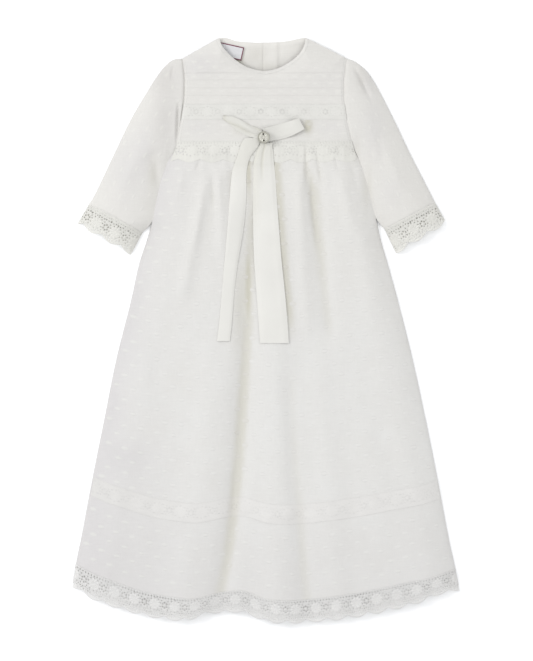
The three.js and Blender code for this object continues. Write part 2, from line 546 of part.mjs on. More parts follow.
// a loop: the ribbon goes out low, turns round and comes back high
function bowLoop(name, L) {
  const N = 16, rows = 2, outer = [], inner = [];
  const ring = (t) => {                 // along the loop 0 (knot) to 1 (end), and height
    const a = 2 * Math.PI * t;
    const along = 0.5 - 0.5 * Math.cos(a);
    return { along, up: 0.5 - 0.5 * Math.sin(a) };
  };
  for (let r = 0; r <= rows; r++) {
    const w = r / rows, o = [], n = [];
    const mid = [(L.knotTop[0] + L.knotLow[0]) / 2, (L.knotTop[1] + L.knotLow[1]) / 2];
    for (let k = 0; k < N; k++) {
      const { along, up } = ring(k / N), q = ring((k + 0.02) / N), p = ring((k - 0.02) / N);
      const at = (al) => [lerp(lerp(L.knotTop[0], L.knotLow[0], w), lerp(L.endTop[0], L.endLow[0], w), al),
        lerp(lerp(L.knotTop[1], L.knotLow[1], w), lerp(L.endTop[1], L.endLow[1], w), al)];
      const span = Math.hypot(L.endTop[0] - mid[0], L.endTop[1] - mid[1]);
      const [x, y] = at(along), z = bowZ + up * L.high;
      // inward normal in the plane of the loop
      const ta = (q.along - p.along) * span, tz = (q.up - p.up) * L.high, len = Math.hypot(ta, tz);
      const na = -tz / len, nz = ta / len;
      const [x1, y1] = at(along + (na * RIBBON) / span);
      o.push(v3(x, y, z));
      n.push(v3(x1, y1, z + nz * RIBBON));
    }
    outer.push(o); inner.push(n);
  }
  piece(name, shell(outer, inner, true), ribbon);
}
bowLoop('bow_loop_left', LOOP_LEFT);
bowLoop('bow_loop_right', LOOP_RIGHT);

// the knot: a rounded pad of wound ribbon
const pad = new THREE.Shape();
pad.moveTo(-KNOT.halfX, -KNOT.halfY + 2);
pad.quadraticCurveTo(-KNOT.halfX, -KNOT.halfY, -KNOT.halfX + 2, -KNOT.halfY);
pad.lineTo(KNOT.halfX - 2, -KNOT.halfY);
pad.quadraticCurveTo(KNOT.halfX, -KNOT.halfY, KNOT.halfX, -KNOT.halfY + 2);
pad.lineTo(KNOT.halfX, KNOT.halfY - 2);
pad.quadraticCurveTo(KNOT.halfX, KNOT.halfY, KNOT.halfX - 2, KNOT.halfY);
pad.lineTo(-KNOT.halfX + 2, KNOT.halfY);
pad.quadraticCurveTo(-KNOT.halfX, KNOT.halfY, -KNOT.halfX, KNOT.halfY - 2);
pad.closePath();
const knotGeometry = new THREE.ExtrudeGeometry(pad, { depth: KNOT.high - 3, bevelEnabled: true, bevelThickness: 1.5, bevelSize: 1.5, bevelOffset: -1.5, bevelSegments: 2, curveSegments: 3 });
knotGeometry.translate(KNOT.x, KNOT.y, bowZ + 1.5);
piece('bow_knot', knotGeometry, ribbon);

// tails: the right one open, the left one folded along its length
const tailZ = (r) => layTop((r.left + r.right) / 2, r.y, (r.right - r.left) / 2 + 2, 24);
const flatTail = TAIL_RIGHT.map((r) => [0, 0.25, 0.5, 0.75, 1].map((t) => v3(lerp(r.left, r.right, t), r.y, tailZ(r))));
piece('ribbon_tail_right', shell(flatTail, raised(flatTail, RIBBON)), ribbon);
const FOLD_SPACE = 0.5;        // between the two layers of the folded tail
const outerTail = [], innerTail = [];
for (const r of TAIL_LEFT) {
  const z = tailZ(r), w = r.right - r.left, h = 2 * RIBBON + FOLD_SPACE;
  // outside and inside of a U lying on its side, closed along the left edge
  outerTail.push([v3(r.right, r.y, z), v3(r.left + w / 2, r.y, z), v3(r.left + 0.6, r.y, z), v3(r.left, r.y, z + h / 2), v3(r.left + 0.6, r.y, z + h), v3(r.left + w / 2, r.y, z + h), v3(r.right, r.y, z + h)]);
  innerTail.push([v3(r.right, r.y, z + RIBBON), v3(r.left + w / 2, r.y, z + RIBBON), v3(r.left + 1.6, r.y, z + RIBBON), v3(r.left + RIBBON + 0.2, r.y, z + h / 2), v3(r.left + 1.6, r.y, z + h - RIBBON), v3(r.left + w / 2, r.y, z + h - RIBBON), v3(r.right, r.y, z + h - RIBBON)]);
}
piece('ribbon_tail_left', shell(outerTail, innerTail), ribbon);

// ---- button -------------------------------------------------------------------------
const wasm = await Module();
wasm.setup();
function solid(geometry) {
  const g = geometry.clone();
  g.deleteAttribute('normal'); g.deleteAttribute('uv');
  const m = mergeVertices(g, 1e-4);
  return new wasm.Manifold(new wasm.Mesh({ numProp: 3, vertProperties: new Float32Array(m.attributes.position.array), triVerts: new Uint32Array(m.index.array) }));
}
function geometryOf(manifold) {
  const m = manifold.getMesh(), g = new THREE.BufferGeometry();
  g.setAttribute('position', new THREE.Float32BufferAttribute(m.vertProperties, 3));
  g.setIndex(new THREE.Uint32BufferAttribute(m.triVerts, 1));
  g.computeVertexNormals();
  return g;
}
// turned section: flat base, raised rim, engraved ring
const B = BUTTON, section = [[0, 0], [B.r - 0.6, 0], [B.r, 0.6], [B.r, B.thick], [B.r - 0.4, B.thick + B.lift], [B.r - B.rim, B.thick + B.lift], [B.r - B.rim - 0.5, B.thick], [0, B.thick]];
const disc = new THREE.LatheGeometry(section.map(([x, y]) => new THREE.Vector2(x, y)), 28);
disc.rotateX(Math.PI / 2);
const holeCutter = (y) => {
  const c = new THREE.CylinderGeometry(B.hole, B.hole, 3 * B.thick, 12);
  c.rotateX(Math.PI / 2);
  return c.translate(0, y, 0);
};
const turned = solid(disc).subtract(solid(holeCutter(B.holeAt))).subtract(solid(holeCutter(-B.holeAt)));
const buttonMesh = piece('button', geometryOf(turned), pewter);
buttonMesh.position.set(B.x, B.y, bowZ + KNOT.high + GAP);

export default gown;
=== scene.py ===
"""Looks of a christening gown that lies flat on its back: dotted cotton, lace, ribbon bow."""
import math

import bpy
import numpy as np
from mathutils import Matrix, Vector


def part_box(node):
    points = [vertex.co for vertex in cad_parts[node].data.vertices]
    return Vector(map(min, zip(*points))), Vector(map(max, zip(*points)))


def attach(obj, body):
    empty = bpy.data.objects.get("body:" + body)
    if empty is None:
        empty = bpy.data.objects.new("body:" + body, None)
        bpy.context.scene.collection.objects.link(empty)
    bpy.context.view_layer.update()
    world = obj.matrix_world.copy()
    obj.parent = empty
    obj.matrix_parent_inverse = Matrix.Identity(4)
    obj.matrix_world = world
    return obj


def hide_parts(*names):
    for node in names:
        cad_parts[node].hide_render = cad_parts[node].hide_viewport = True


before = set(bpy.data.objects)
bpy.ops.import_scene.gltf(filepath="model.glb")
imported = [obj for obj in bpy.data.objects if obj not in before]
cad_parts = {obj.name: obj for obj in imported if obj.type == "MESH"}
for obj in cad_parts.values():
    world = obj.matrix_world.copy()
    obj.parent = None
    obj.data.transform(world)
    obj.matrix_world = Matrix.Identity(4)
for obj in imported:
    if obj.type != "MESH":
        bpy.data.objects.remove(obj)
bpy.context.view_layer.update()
rng = np.random.default_rng(11)
MM = 0.001

# ---- sizes in millimetres ------------------------------------------------------------
CLOTH, LACE, RIBBON, GAP = 1.4, 1.2, 1.2, 0.3     # walls of the solids, seam gap
PUFF, EDGE_ROLL, WAIST_Y = 12.0, 38.0, 234.65
VOILE = 0.6                                       # shown thickness of the cotton
SILK = 0.3                                        # shown thickness of the ribbon
UNIT = 1.3                                        # drawing unit of the fold tables
SHEET_W, SHEET_H = 533, 661                       # drawing sheet, in units


def at_unit(px, py):
    """Point of the drawing sheet (from its upper left corner) in millimetres."""
    return ((px - 266.0) * UNIT, (330.5 - py) * UNIT)


# ---- outline tables, after those of the solids ---------------------------------------
# y, left, right
ARMHOLE = np.array([
    (353.6, -109.2, 105.3), (344.2, -107.6, 103.9), (334.8, -106.5, 102.7), (323.9, -105.8, 101.5),
    (304.5, -106.3, 101.5), (294.5, -107.3, 102.2), (273.7, -110.5, 105.2), (260.0, -113.0, 108.1),
    (246.3, -115.4, 111.8), (WAIST_Y, -117.3, 115.0)])
NECK_L, TIP_L, NECK_R, TIP_R = (-61.1, 380.8), (-109.2, 353.6), (51.4, 381.0), (105.3, 353.6)
# x, y
NECK_FRONT = np.array([
    (-61.1, 380.8), (-57.2, 370.5), (-49.4, 360.8), (-37.7, 350.4), (-24.7, 342.6), (-11.7, 338.7),
    (0.0, 337.4), (14.3, 340.5), (26.0, 346.2), (37.1, 353.6), (45.5, 362.7), (49.8, 371.2), (51.4, 381.0)])
NECK_BACK = np.array([
    (-61.1, 380.8), (-52.0, 380.9), (-39.0, 376.9), (-20.8, 375.1), (0.0, 374.8), (18.2, 375.6),
    (33.8, 377.8), (44.2, 380.2), (51.4, 381.0)])
# y, left, right
SKIRT_SIDE = np.array([
    (WAIST_Y, -117.3, 115.0), (220.3, -127.4, 121.5), (193.1, -137.3, 130.4), (164.5, -143.5, 137.5),
    (142.3, -147.9, 143.8), (117.7, -155.0, 149.5), (86.5, -165.1, 158.6), (39.6, -175.5, 171.6),
    (-38.4, -195.0, 191.1), (-116.4, -210.6, 208.0), (-194.3, -226.2, 223.6), (-272.4, -241.0, 238.3),
    (-306.2, -247.9, 245.7), (-337.4, -252.5, 252.2)])
# x, y, drop of the lace
HEM = np.array([
    (-247.9, -305.5, 28.6), (-222.3, -318.2, 31.5), (-195.0, -328.2, 31.9), (-166.4, -338.7, 29.9),
    (-140.4, -344.6, 29.9), (-101.4, -349.7, 27.9), (-80.6, -347.1, 22.8), (-57.2, -341.2, 26.7),
    (-29.9, -339.9, 27.9), (0.0, -349.7, 29.2), (39.0, -351.7, 29.2), (111.8, -343.2, 30.6),
    (188.5, -327.7, 29.2), (217.1, -321.8, 23.4), (246.3, -311.4, 27.3)])
# left x, left y, right x, right y
SLEEVE_OUT = np.array([
    (-109.2, 353.6, 105.3, 353.6), (-119.6, 352.7, 113.1, 351.4), (-130.0, 345.4, 123.5, 344.5),
    (-140.4, 332.8, 133.9, 334.1), (-153.4, 312.7, 146.9, 312.7), (-176.2, 273.7, 166.8, 273.7),
    (-198.9, 226.8, 189.2, 226.8), (-221.0, 180.1, 213.2, 180.1), (-230.5, 164.2, 220.1, 166.3)])
SLEEVE_IN = np.array([
    (-118.3, 235.6, 116.2, 235.7), (-128.7, 220.3, 123.5, 220.3), (-138.8, 193.1, 132.9, 193.1),
    (-144.8, 164.5, 140.9, 164.5), (-149.8, 142.3, 146.4, 146.2), (-160.8, 127.3, 154.2, 132.0)])
CUFF_END = {"left": ((-244.4, 140.4), (-174.8, 100.8)), "right": ((234.0, 141.7), (168.5, 102.0))}
TUCKS = (334.8, 325.3, 315.6, 305.9)              # y of the folded edge of each tuck
# large folds of the solids: start, middle, end, half width, rise
FOLDS = np.array([
    (-15.6, 215.2, -34.5, -160.0, -61.0, -358.2, 14.0, -5.0),
    (7.8, 208.7, 14.3, -90.4, 15.6, -358.2, 26.0, 5.0),
    (-67.6, 0.7, -76.7, -142.3, -109.2, -366.0, 24.0, 3.2),
    (27.3, -18.9, 36.4, -168.4, 53.3, -358.2, 11.0, -2.2),
    (62.4, 0.7, 76.7, -142.3, 93.6, -358.2, 19.0, 2.6),
    (40.3, 215.2, 46.8, 98.2, 54.6, -18.9, 10.0, 2.4),
    (62.4, 221.7, 72.8, 94.3, 85.8, -31.9, 10.4, -3.0),
    (100.1, 211.3, 136.5, 89.1, 157.3, 11.0, 16.0, 2.4),
    (-75.4, 215.2, -88.4, 142.3, -113.0, 26.7, 9.5, 2.8),
    (-62.4, 215.2, -58.5, 150.2, -58.5, 89.0, 7.2, 2.0),
    (-149.5, 234.7, -141.7, 206.1, -137.8, 182.7, 8.5, -2.5),
    (114.4, 343.9, 123.5, 328.2, 132.6, 302.2, 6.5, -2.0)])
FOLD_FADE = 0.18
# small creases on the drawing sheet: start, middle, end, half width (units), rise (mm)
CREASES = np.array([
    (200.6, 159.5, 198.0, 166.0, 195.0, 173.0, 1.8, -1.5),
    (204.0, 174.0, 199.5, 214.0, 187.0, 272.0, 4.2, 1.5),
    (212.5, 170.0, 213.0, 190.0, 214.0, 214.0, 2.8, -1.4),
    (218.0, 172.0, 219.0, 200.0, 219.0, 225.0, 3.4, 0.7),
    (231.5, 158.0, 231.5, 190.0, 230.0, 226.0, 3.2, -1.8),
    (253.5, 150.0, 253.0, 240.0, 248.0, 312.0, 4.0, -0.7),
    (249.0, 300.0, 243.0, 400.0, 234.0, 520.0, 5.0, -1.3),
    (238.0, 450.0, 231.0, 540.0, 219.0, 612.0, 5.0, -1.3),
    (299.0, 158.0, 301.0, 205.0, 306.0, 260.0, 4.4, 0.9),
    (310.0, 150.0, 312.5, 205.0, 319.5, 262.0, 3.0, -2.2),
    (316.5, 146.0, 319.0, 168.0, 323.0, 192.0, 1.8, -1.9),
    (306.0, 138.0, 306.5, 165.0, 308.0, 198.0, 2.2, -2.3),
    (338.0, 164.0, 346.0, 205.0, 357.0, 246.0, 6.0, 1.4),
    (335.0, 155.0, 336.0, 162.0, 338.0, 172.0, 1.7, -1.3),
    (350.0, 160.0, 355.0, 176.0, 358.0, 196.0, 3.0, -0.9),
    (185.0, 164.0, 181.0, 182.0, 177.0, 204.0, 3.0, 0.9),
    (108.0, 452.0, 140.0, 459.0, 172.0, 455.0, 9.0, -1.1),
    (360.0, 420.0, 378.0, 470.0, 388.0, 530.0, 11.0, 0.8),
    (178.6, 98.0, 177.6, 122.0, 176.4, 152.0, 1.35, -3.6),
    (174.5, 59.0, 172.5, 70.0, 171.4, 84.0, 1.2, -2.0),
    (168.0, 64.0, 166.0, 74.0, 164.0, 86.0, 2.0, -0.8),
    (352.0, 60.0, 361.0, 79.0, 374.0, 106.0, 2.2, -2.2),
    (156.0, 158.0, 156.5, 174.0, 158.0, 192.0, 3.0, -0.55),
    (140.0, 150.0, 130.0, 172.0, 119.0, 196.0, 4.5, 0.9),
    (386.0, 150.0, 397.0, 176.0, 407.0, 200.0, 4.5, 0.9),
    (378.0, 130.0, 381.0, 152.0, 386.0, 172.0, 3.6, -1.0)])
# painted shade and painted shadow on the sheer cloth: middle, reach (units), grey (painted shade share), warm (warm
# painted shadow share)
PAINTED_SHADES = {
    "sleeve_left": [
        (166, 78, 15, 19, 0.9, 0.42), (165, 118, 13, 30, 0.8, 0.36), (153, 174, 5, 17, 0.0, 0.48),
        (128, 168, 22, 36, 0.5, 0.0), (145, 146, 9, 26, 0.3, 0.0), (150, 205, 9, 12, 0.0, 0.1)],
    "sleeve_right": [
        (373, 130, 13, 32, 0.45, 0.05), (369, 82, 7, 13, 0.5, 0.18), (361, 77, 4, 11, 0.4, 0.35), (392, 192, 14, 20, 0.25, 0.0),
        (369, 190, 3.5, 20, 0.0, 0.45), (357, 152, 3, 12, 0.0, 0.4)],
    "yoke": [
        (266, 88, 75, 22, 0.16, 0.05),         (199, 65, 22, 13, 0.65, 0.08), (200, 127, 22, 10, 0.3, 0.0), (330, 127, 22, 10, 0.3, 0.0), (326, 80, 22, 14, 0.2, 0.0),
        (308, 126, 4.2, 7.0, 0.8, 2.2), (238, 131, 8, 6, 0.0, 0.35)],
    "skirt": [(366, 190, 3.5, 20, 0.0, 0.45), (354, 154, 3, 10, 0.0, 0.4), (253, 156, 4.5, 9, 0.0, 1.0), (278.5, 158, 3.2, 12, 0.0, 0.5),
              (250.5, 205, 3.5, 34, 0.0, 0.4), (248.5, 174, 2.6, 16, 0.0, 1.7), (248.5, 284, 3, 38, 0.0, 1.8), (241, 305, 9, 42, 0.0, 0.6), (306, 166, 2.4, 13, 0.0, 0.6),
              (130, 460, 32, 18, 0.4, 0.0), (110, 412, 18, 26, 0.3, 0.0), (126, 325, 18, 56, 0.3, 0.0)],
    "neck": [(235, 61, 6.5, 7, 0.8, 2.4), (256, 54, 9, 9, 0.5, 0.6), (268, 66, 10, 3.5, 0.0, 0.35)]}
# ribbon tails: y, left, right
TAIL_LEFT = np.array([
    (250.0, -27.0, -7.0), (243.4, -32.0, -8.4), (236.0, -34.4, -12.6), (226.5, -37.0, -20.0), (216.0, -41.0, -23.6), (204.0, -44.4, -25.4),
    (170.0, -47.2, -25.8), (130.0, -50.4, -29.6), (90.0, -53.8, -36.4), (50.0, -57.2, -41.4), (15.0, -60.2, -44.0), (-13.8, -63.7, -46.8)])
TAIL_RIGHT = np.array([
    (243.4, -3.2, 3.0), (239.0, -5.5, 4.2), (234.0, -10.0, 6.8), (226.0, -13.6, 8.6), (216.0, -16.2, 10.2), (200.0, -16.8, 11.9), (170.0, -17.0, 14.0),
    (130.0, -16.6, 17.0), (90.0, -15.2, 20.2), (50.0, -12.4, 24.4), (15.0, -10.0, 27.6), (-16.4, -7.8, 29.6)])
BUTTON = {"x": -3.1, "y": 250.5, "r": 8.0, "thick": 2.4, "hole": 0.95, "hole_at": 4.2}
LABEL = {"x": -45.6, "y": 363.2, "w": 31.4, "h": 17.4, "tilt": -0.22}
PLACKET = {"left": -3.9, "right": 13.0, "step": 5.0}


# ---- small mathematics ---------------------------------------------------------------
def smoothstep(x, a, b):
    t = np.clip((np.asarray(x, float) - a) / (b - a), 0.0, 1.0)
    return t * t * (3 - 2 * t)


def mix(a, b, t):
    return a + (b - a) * t


def smooth_at(key, column, q):
    """Smooth curve through a table's column, read at q."""
    if key[-1] < key[0]:
        key, column = key[::-1], column[::-1]
    n = len(key)
    k = np.arange(n)
    lo, hi = np.maximum(k - 1, 0), np.minimum(k + 1, n - 1)
    slope = (column[hi] - column[lo]) / (key[hi] - key[lo])
    q = np.asarray(q, float)
    i = np.clip(np.searchsorted(key, q, side="right") - 1, 0, n - 2)
    h = key[i + 1] - key[i]
    t = np.clip((q - key[i]) / h, 0.0, 1.0)
    t2, t3 = t * t, t * t * t
    return ((2 * t3 - 3 * t2 + 1) * column[i] + (t3 - 2 * t2 + t) * h * slope[i]
            + (3 * t2 - 2 * t3) * column[i + 1] + (t3 - t2) * h * slope[i + 1])


def curve_of(points, dense=600):
    """Smooth curve through points, read by the part of its length."""
    p = np.asarray(points, float)
    m = len(p)
    t = np.linspace(0, m - 1, dense)
    i = np.minimum(t.astype(int), m - 2)
    f = (t - i)[:, None]
    p0, p1, p2, p3 = p[np.maximum(i - 1, 0)], p[i], p[i + 1], p[np.minimum(i + 2, m - 1)]
    v0, v1 = (p2 - p0) / 2, (p3 - p1) / 2
    c = (2 * p1 - 2 * p2 + v0 + v1) * f ** 3 + (-3 * p1 + 3 * p2 - 2 * v0 - v1) * f ** 2 + v0 * f + p1
    run = np.concatenate([[0], np.cumsum(np.linalg.norm(np.diff(c, axis=0), axis=1))])
    run /= run[-1]
    return lambda s: np.stack([np.interp(s, run, c[:, k]) for k in range(c.shape[1])], -1)


def to_line(line, x, y):
    """Distance to a polyline, and the part of its length at the nearest point."""
    best, at, run = np.full(np.shape(x), 1e9), np.zeros(np.shape(x)), 0.0
    for (ax, ay), (bx, by) in zip(line[:-1], line[1:]):
        dx, dy = bx - ax, by - ay
        length = max(math.hypot(dx, dy), 1e-6)
        t = np.clip(((x - ax) * dx + (y - ay) * dy) / length ** 2, 0, 1)
        d = np.hypot(x - ax - t * dx, y - ay - t * dy)
        closer = d < best
        best = np.where(closer, d, best)
        at = np.where(closer, run + t * length, at)
        run += length
    return best, at / run


def noise2(x, y, size, seed):
    """Smooth value noise from -1 to 1 with features of the given size."""
    n = 256
    table = np.random.default_rng(seed).uniform(-1, 1, (n, n))
    fx, fy = x / size + 97.3, y / size + 61.7
    ix, iy = np.floor(fx).astype(int), np.floor(fy).astype(int)
    tx, ty = fx - ix, fy - iy
    tx, ty = tx * tx * (3 - 2 * tx), ty * ty * (3 - 2 * ty)
    g = lambda a, b: table[np.mod(a, n), np.mod(b, n)]
    return mix(mix(g(ix, iy), g(ix + 1, iy), tx), mix(g(ix, iy + 1), g(ix + 1, iy + 1), tx), ty)


# ---- height of the front over its plan -----------------------------------------------
STEP = 1.0
GX, GY = np.arange(-266, 267, STEP), np.arange(-396, 397, STEP)
XX, YY = np.meshgrid(GX, GY)

# in the gown as it lies, the sleeves close on the skirt from the armhole to the elbow
CLOSE = np.array([(1.9, 1.4), (2.0, 2.0), (1.9, 2.1), (1.7, 2.7), (1.9, 3.3), (0.0, 0.0)])     # left, right
SLEEVE_SHOWN = SLEEVE_IN.copy()
SLEEVE_SHOWN[:, 0] += CLOSE[:, 0]
SLEEVE_SHOWN[:, 2] -= CLOSE[:, 1]

side_lines = {
    "sleeve_out_left": [*SLEEVE_OUT[:, :2], CUFF_END["left"][0]], "sleeve_out_right": [*SLEEVE_OUT[:, 2:], CUFF_END["right"][0]],
    "sleeve_in_left": [*SLEEVE_IN[:, :2], CUFF_END["left"][1]], "sleeve_in_right": [*SLEEVE_IN[:, 2:], CUFF_END["right"][1]],
    "skirt_left": SKIRT_SIDE[:, [1, 0]], "skirt_right": SKIRT_SIDE[:, [2, 0]],
    "shoulder_left": [NECK_L, TIP_L], "shoulder_right": [NECK_R, TIP_R]}


def windowed(points, reach):
    """Slices of the raster around a line."""
    p = np.asarray(points)
    x0, x1 = np.searchsorted(GX, [p[:, 0].min() - reach, p[:, 0].max() + reach])
    y0, y1 = np.searchsorted(GY, [p[:, 1].min() - reach, p[:, 1].max() + reach])
    return slice(max(y0, 0), y1), slice(max(x0, 0), x1)


def lay_folds(z, rows, unit=None):
    for x0, y0, x1, y1, x2, y2, width, rise in rows:
        pts = [(x0, y0), (x1, y1), (x2, y2)]
        if unit:
            pts, width = [unit(*p) for p in pts], width * UNIT
        line = curve_of(pts)(np.linspace(0, 1, 13))
        w = windowed(line, 3 * width)
        d, part = to_line(line, XX[w], YY[w])
        to_hem = pts[2][1] < HEM[4][1]
        fade = smoothstep(part, 0, FOLD_FADE) * (1 if to_hem else 1 - smoothstep(part, 1 - FOLD_FADE, 1))
        if unit:
            fade = smoothstep(part, 0, 0.3) * (1 - smoothstep(part, 0.55, 1))
        z[w] += rise * np.exp(-(d / width) ** 2) * fade


def raster():
    away = np.full(XX.shape, 1e9)
    for name, line in side_lines.items():
        d, _ = to_line(line, XX, YY)
        if name in ("sleeve_in_left", "skirt_left"):      # sleeve and skirt press on each other here
            d = d + 13 * smoothstep(YY, 126, 152)
        if name in ("sleeve_in_right", "skirt_right"):    # and softly on the other side
            d = d + 9 * smoothstep(YY, 110, 180)
        if name.startswith("skirt"):                      # the skirt's sides fall away gently
            d = (0.78 if name.endswith("left") else 0.87) * d
        if name.startswith("shoulder"):
            d = d + 4
        away = np.minimum(away, d)
    d, _ = to_line(NECK_FRONT, XX, YY)                    # the neck edge lies lower than the chest
    away = np.minimum(away, d + 15)
    near = np.minimum(away / EDGE_ROLL, 1)
    folds = np.zeros(XX.shape)
    lay_folds(folds, FOLDS)
    fine = np.zeros(XX.shape)
    lay_folds(fine, CREASES, at_unit)
    # gathers under the waist, uneven and soon gone
    below = WAIST_Y - YY
    skirt = (below > -6) & (np.abs(XX) < 132)
    die = np.exp(-np.maximum(below, 0) / (26 + 16 * noise2(XX, XX * 0, 19, 3))) * skirt
    fine += die * (0.75 * noise2(XX - 0.05 * below * np.sign(XX), below * 0.1, 6.5, 5) + 0.4 * noise2(XX, below * 0.1, 3.4, 6))
    # slack of the cloth
    slack = smoothstep(below, 20, 120)
    fine += slack * (0.75 * noise2(XX + 0.2 * YY, YY * 0.36, 34, 8) + 0.32 * noise2(XX, YY * 0.5, 17, 9))
    fine += (1 - slack) * 0.35 * noise2(XX, YY, 23, 10)
    # armhole seams: narrow grooves
    for column, x_deep in ((1, 1.1), (2, 1.3)):
        line = ARMHOLE[:, [column, 0]]
        w = windowed(line, 12)
        d, _ = to_line(line, XX[w], YY[w])
        fine[w] -= x_deep * np.exp(-(d / 2.6) ** 2) * (smoothstep(YY[w], 244, 266) if column == 1 else 0.7)
    return CLOTH + GAP + PUFF * (1 - (1 - near) ** 2) + folds * near + fine * smoothstep(near, 0, 0.35)


UNDER = raster()


def under(x, y):
    """Underside of the front cloth at points of the plan."""
    fx = np.clip((np.asarray(x, float) - GX[0]) / STEP, 0, len(GX) - 1.001)
    fy = np.clip((np.asarray(y, float) - GY[0]) / STEP, 0, len(GY) - 1.001)
    ix, iy = fx.astype(int), fy.astype(int)
    tx, ty = fx - ix, fy - iy
    return (UNDER[iy, ix] * (1 - tx) * (1 - ty) + UNDER[iy, ix + 1] * tx * (1 - ty)
            + UNDER[iy + 1, ix] * (1 - tx) * ty + UNDER[iy + 1, ix + 1] * tx * ty)


def top_of(x, y):
    return under(x, y) + CLOTH


def spread(a, axis, reach):
    """Highest neighbour along an axis."""
    out = a
    for k in range(1, reach + 1):
        out = np.maximum(out, np.maximum(np.roll(a, k, axis), np.roll(a, -k, axis)))
    return out


def blurred(a, axis, sigma):
    k = np.arange(-int(3 * sigma), int(3 * sigma) + 1)
    w = np.exp(-(k / sigma) ** 2 / 2)
    return sum(np.roll(a, i, axis) * f for i, f in zip(k, w / w.sum()))


LAID = UNDER
for n in (0, 1):
    LAID = spread(LAID, n, 5)
for n in (0, 1):
    LAID = blurred(LAID, n, 4.0)


DEEP = UNDER
for n in (0, 1):
    DEEP = blurred(DEEP, n, 15.0)
DEEP = np.maximum(DEEP - UNDER, 0)


def hollow_at(x, y):
    """Share of light kept back in the folds, where cloth looks at cloth."""
    ix = np.clip(np.round((np.asarray(x, float) - GX[0]) / STEP).astype(int), 0, len(GX) - 1)
    iy = np.clip(np.round((np.asarray(y, float) - GY[0]) / STEP).astype(int), 0, len(GY) - 1)
    return smoothstep(DEEP[iy, ix], 0.5, 3.6)


def painted_shade_at(kind, x, y):
    """Painted shade: grey share and warm shadow share at points of the plan."""
    grey, warm = np.zeros(np.shape(x)), np.zeros(np.shape(x))
    for px, py, rx, ry, g, w in PAINTED_SHADES[kind]:
        cx, cy = at_unit(px, py)
        near = np.exp(-((x - cx) / (rx * UNIT)) ** 2 - ((y - cy) / (ry * UNIT)) ** 2)
        grey, warm = grey + g * near, warm + 0.62 * w * near
    return np.minimum(grey, 1), np.minimum(warm, 1)


def laid_on(x, y):
    """Height of a ribbon that lies on the front and bridges its small creases."""
    ix = np.clip(np.round((np.asarray(x, float) - GX[0]) / STEP).astype(int), 0, len(GX) - 1)
    fy = np.clip((np.asarray(y, float) - GY[0]) / STEP, 0, len(GY) - 1.001)
    iy = fy.astype(int)
    t = fy - iy
    return LAID[iy, ix] * (1 - t) + LAID[iy + 1, ix] * t + CLOTH + 0.9 * smoothstep(y, 212, 218)


# ---- meshes --------------------------------------------------------------------------
def grid_faces(rows, columns, wrap=False):
    r, c = np.meshgrid(np.arange(rows - 1), np.arange(columns if wrap else columns - 1), indexing="ij")
    d = (c + 1) % columns
    return np.stack([r * columns + c, (r + 1) * columns + c, (r + 1) * columns + d, r * columns + d], -1).reshape(-1, 4)


def closed_shell(top, low, wrap=False):
    """Closed wall between two grids of the same size."""
    rows, columns = top.shape[:2]
    n = rows * columns
    f = grid_faces(rows, columns, wrap)
    c = np.arange(columns if wrap else columns - 1)
    d, k = (c + 1) % columns, (rows - 1) * columns
    faces = [f, f[:, ::-1] + n, np.stack([c, d, d + n, c + n], -1), np.stack([k + d, k + c, k + c + n, k + d + n], -1)]
    if not wrap:
        r = np.arange(rows - 1)
        a, b = r * columns, r * columns + columns - 1
        faces += [np.stack([a + columns, a, a + n, a + columns + n], -1), np.stack([b, b + columns, b + columns + n, b + n], -1)]
    return np.concatenate([top.reshape(-1, 3), low.reshape(-1, 3)]), np.concatenate(faces)


def normals_of(grid, wrap=False):
    if wrap:
        ext = np.concatenate([grid[:, -1:], grid, grid[:, :1]], 1)
        du = (ext[:, 2:] - ext[:, :-2]) / 2
    else:
        du = np.gradient(grid, axis=1)
    dv = np.gradient(grid, axis=0)
    n = np.cross(dv, du)
    return n / np.maximum(np.linalg.norm(n, axis=-1, keepdims=True), 1e-9)


def thin_shell(grid, thick, wrap=False):
    n = normals_of(grid, wrap)
    return closed_shell(grid + n * thick / 2, grid - n * thick / 2, wrap)


def joined(parts):
    """Several (verts, faces) of one face size as one mesh."""
    verts, faces, k = [], [], 0
    for v, f in parts:
        verts.append(v)
        faces.append(f + k)
        k += len(v)
    return np.concatenate(verts), np.concatenate(faces)


def add_piece(name, verts, faces, material, slot, sharp=55, shade=None, node=None, warm=None, painted_shadow=None):
    me = bpy.data.meshes.new(name)
    me.from_pydata((np.asarray(verts) * MM).astype(np.float32), [], np.asarray(faces))
    me.update()
    me.polygons.foreach_set("use_smooth", np.ones(len(me.polygons), bool))
    if sharp < 180:
        me.set_sharp_from_angle(angle=math.radians(sharp))
    # the shade share and the warm shadow share carry painted shade and painted shadow into the materials
    for key, value in (("shade", shade), ("warm", warm), ("painted_shadow", painted_shadow)):
        if value is not None:
            me.attributes.new(key, "FLOAT", "POINT").data.foreach_set("value", np.asarray(value, np.float32).ravel())
    me.materials.append(material)
    ob = bpy.data.objects.new(name, me)
    bpy.context.scene.collection.objects.link(ob)
    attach(ob, "root")
    if node:
        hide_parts(node)
    return ob


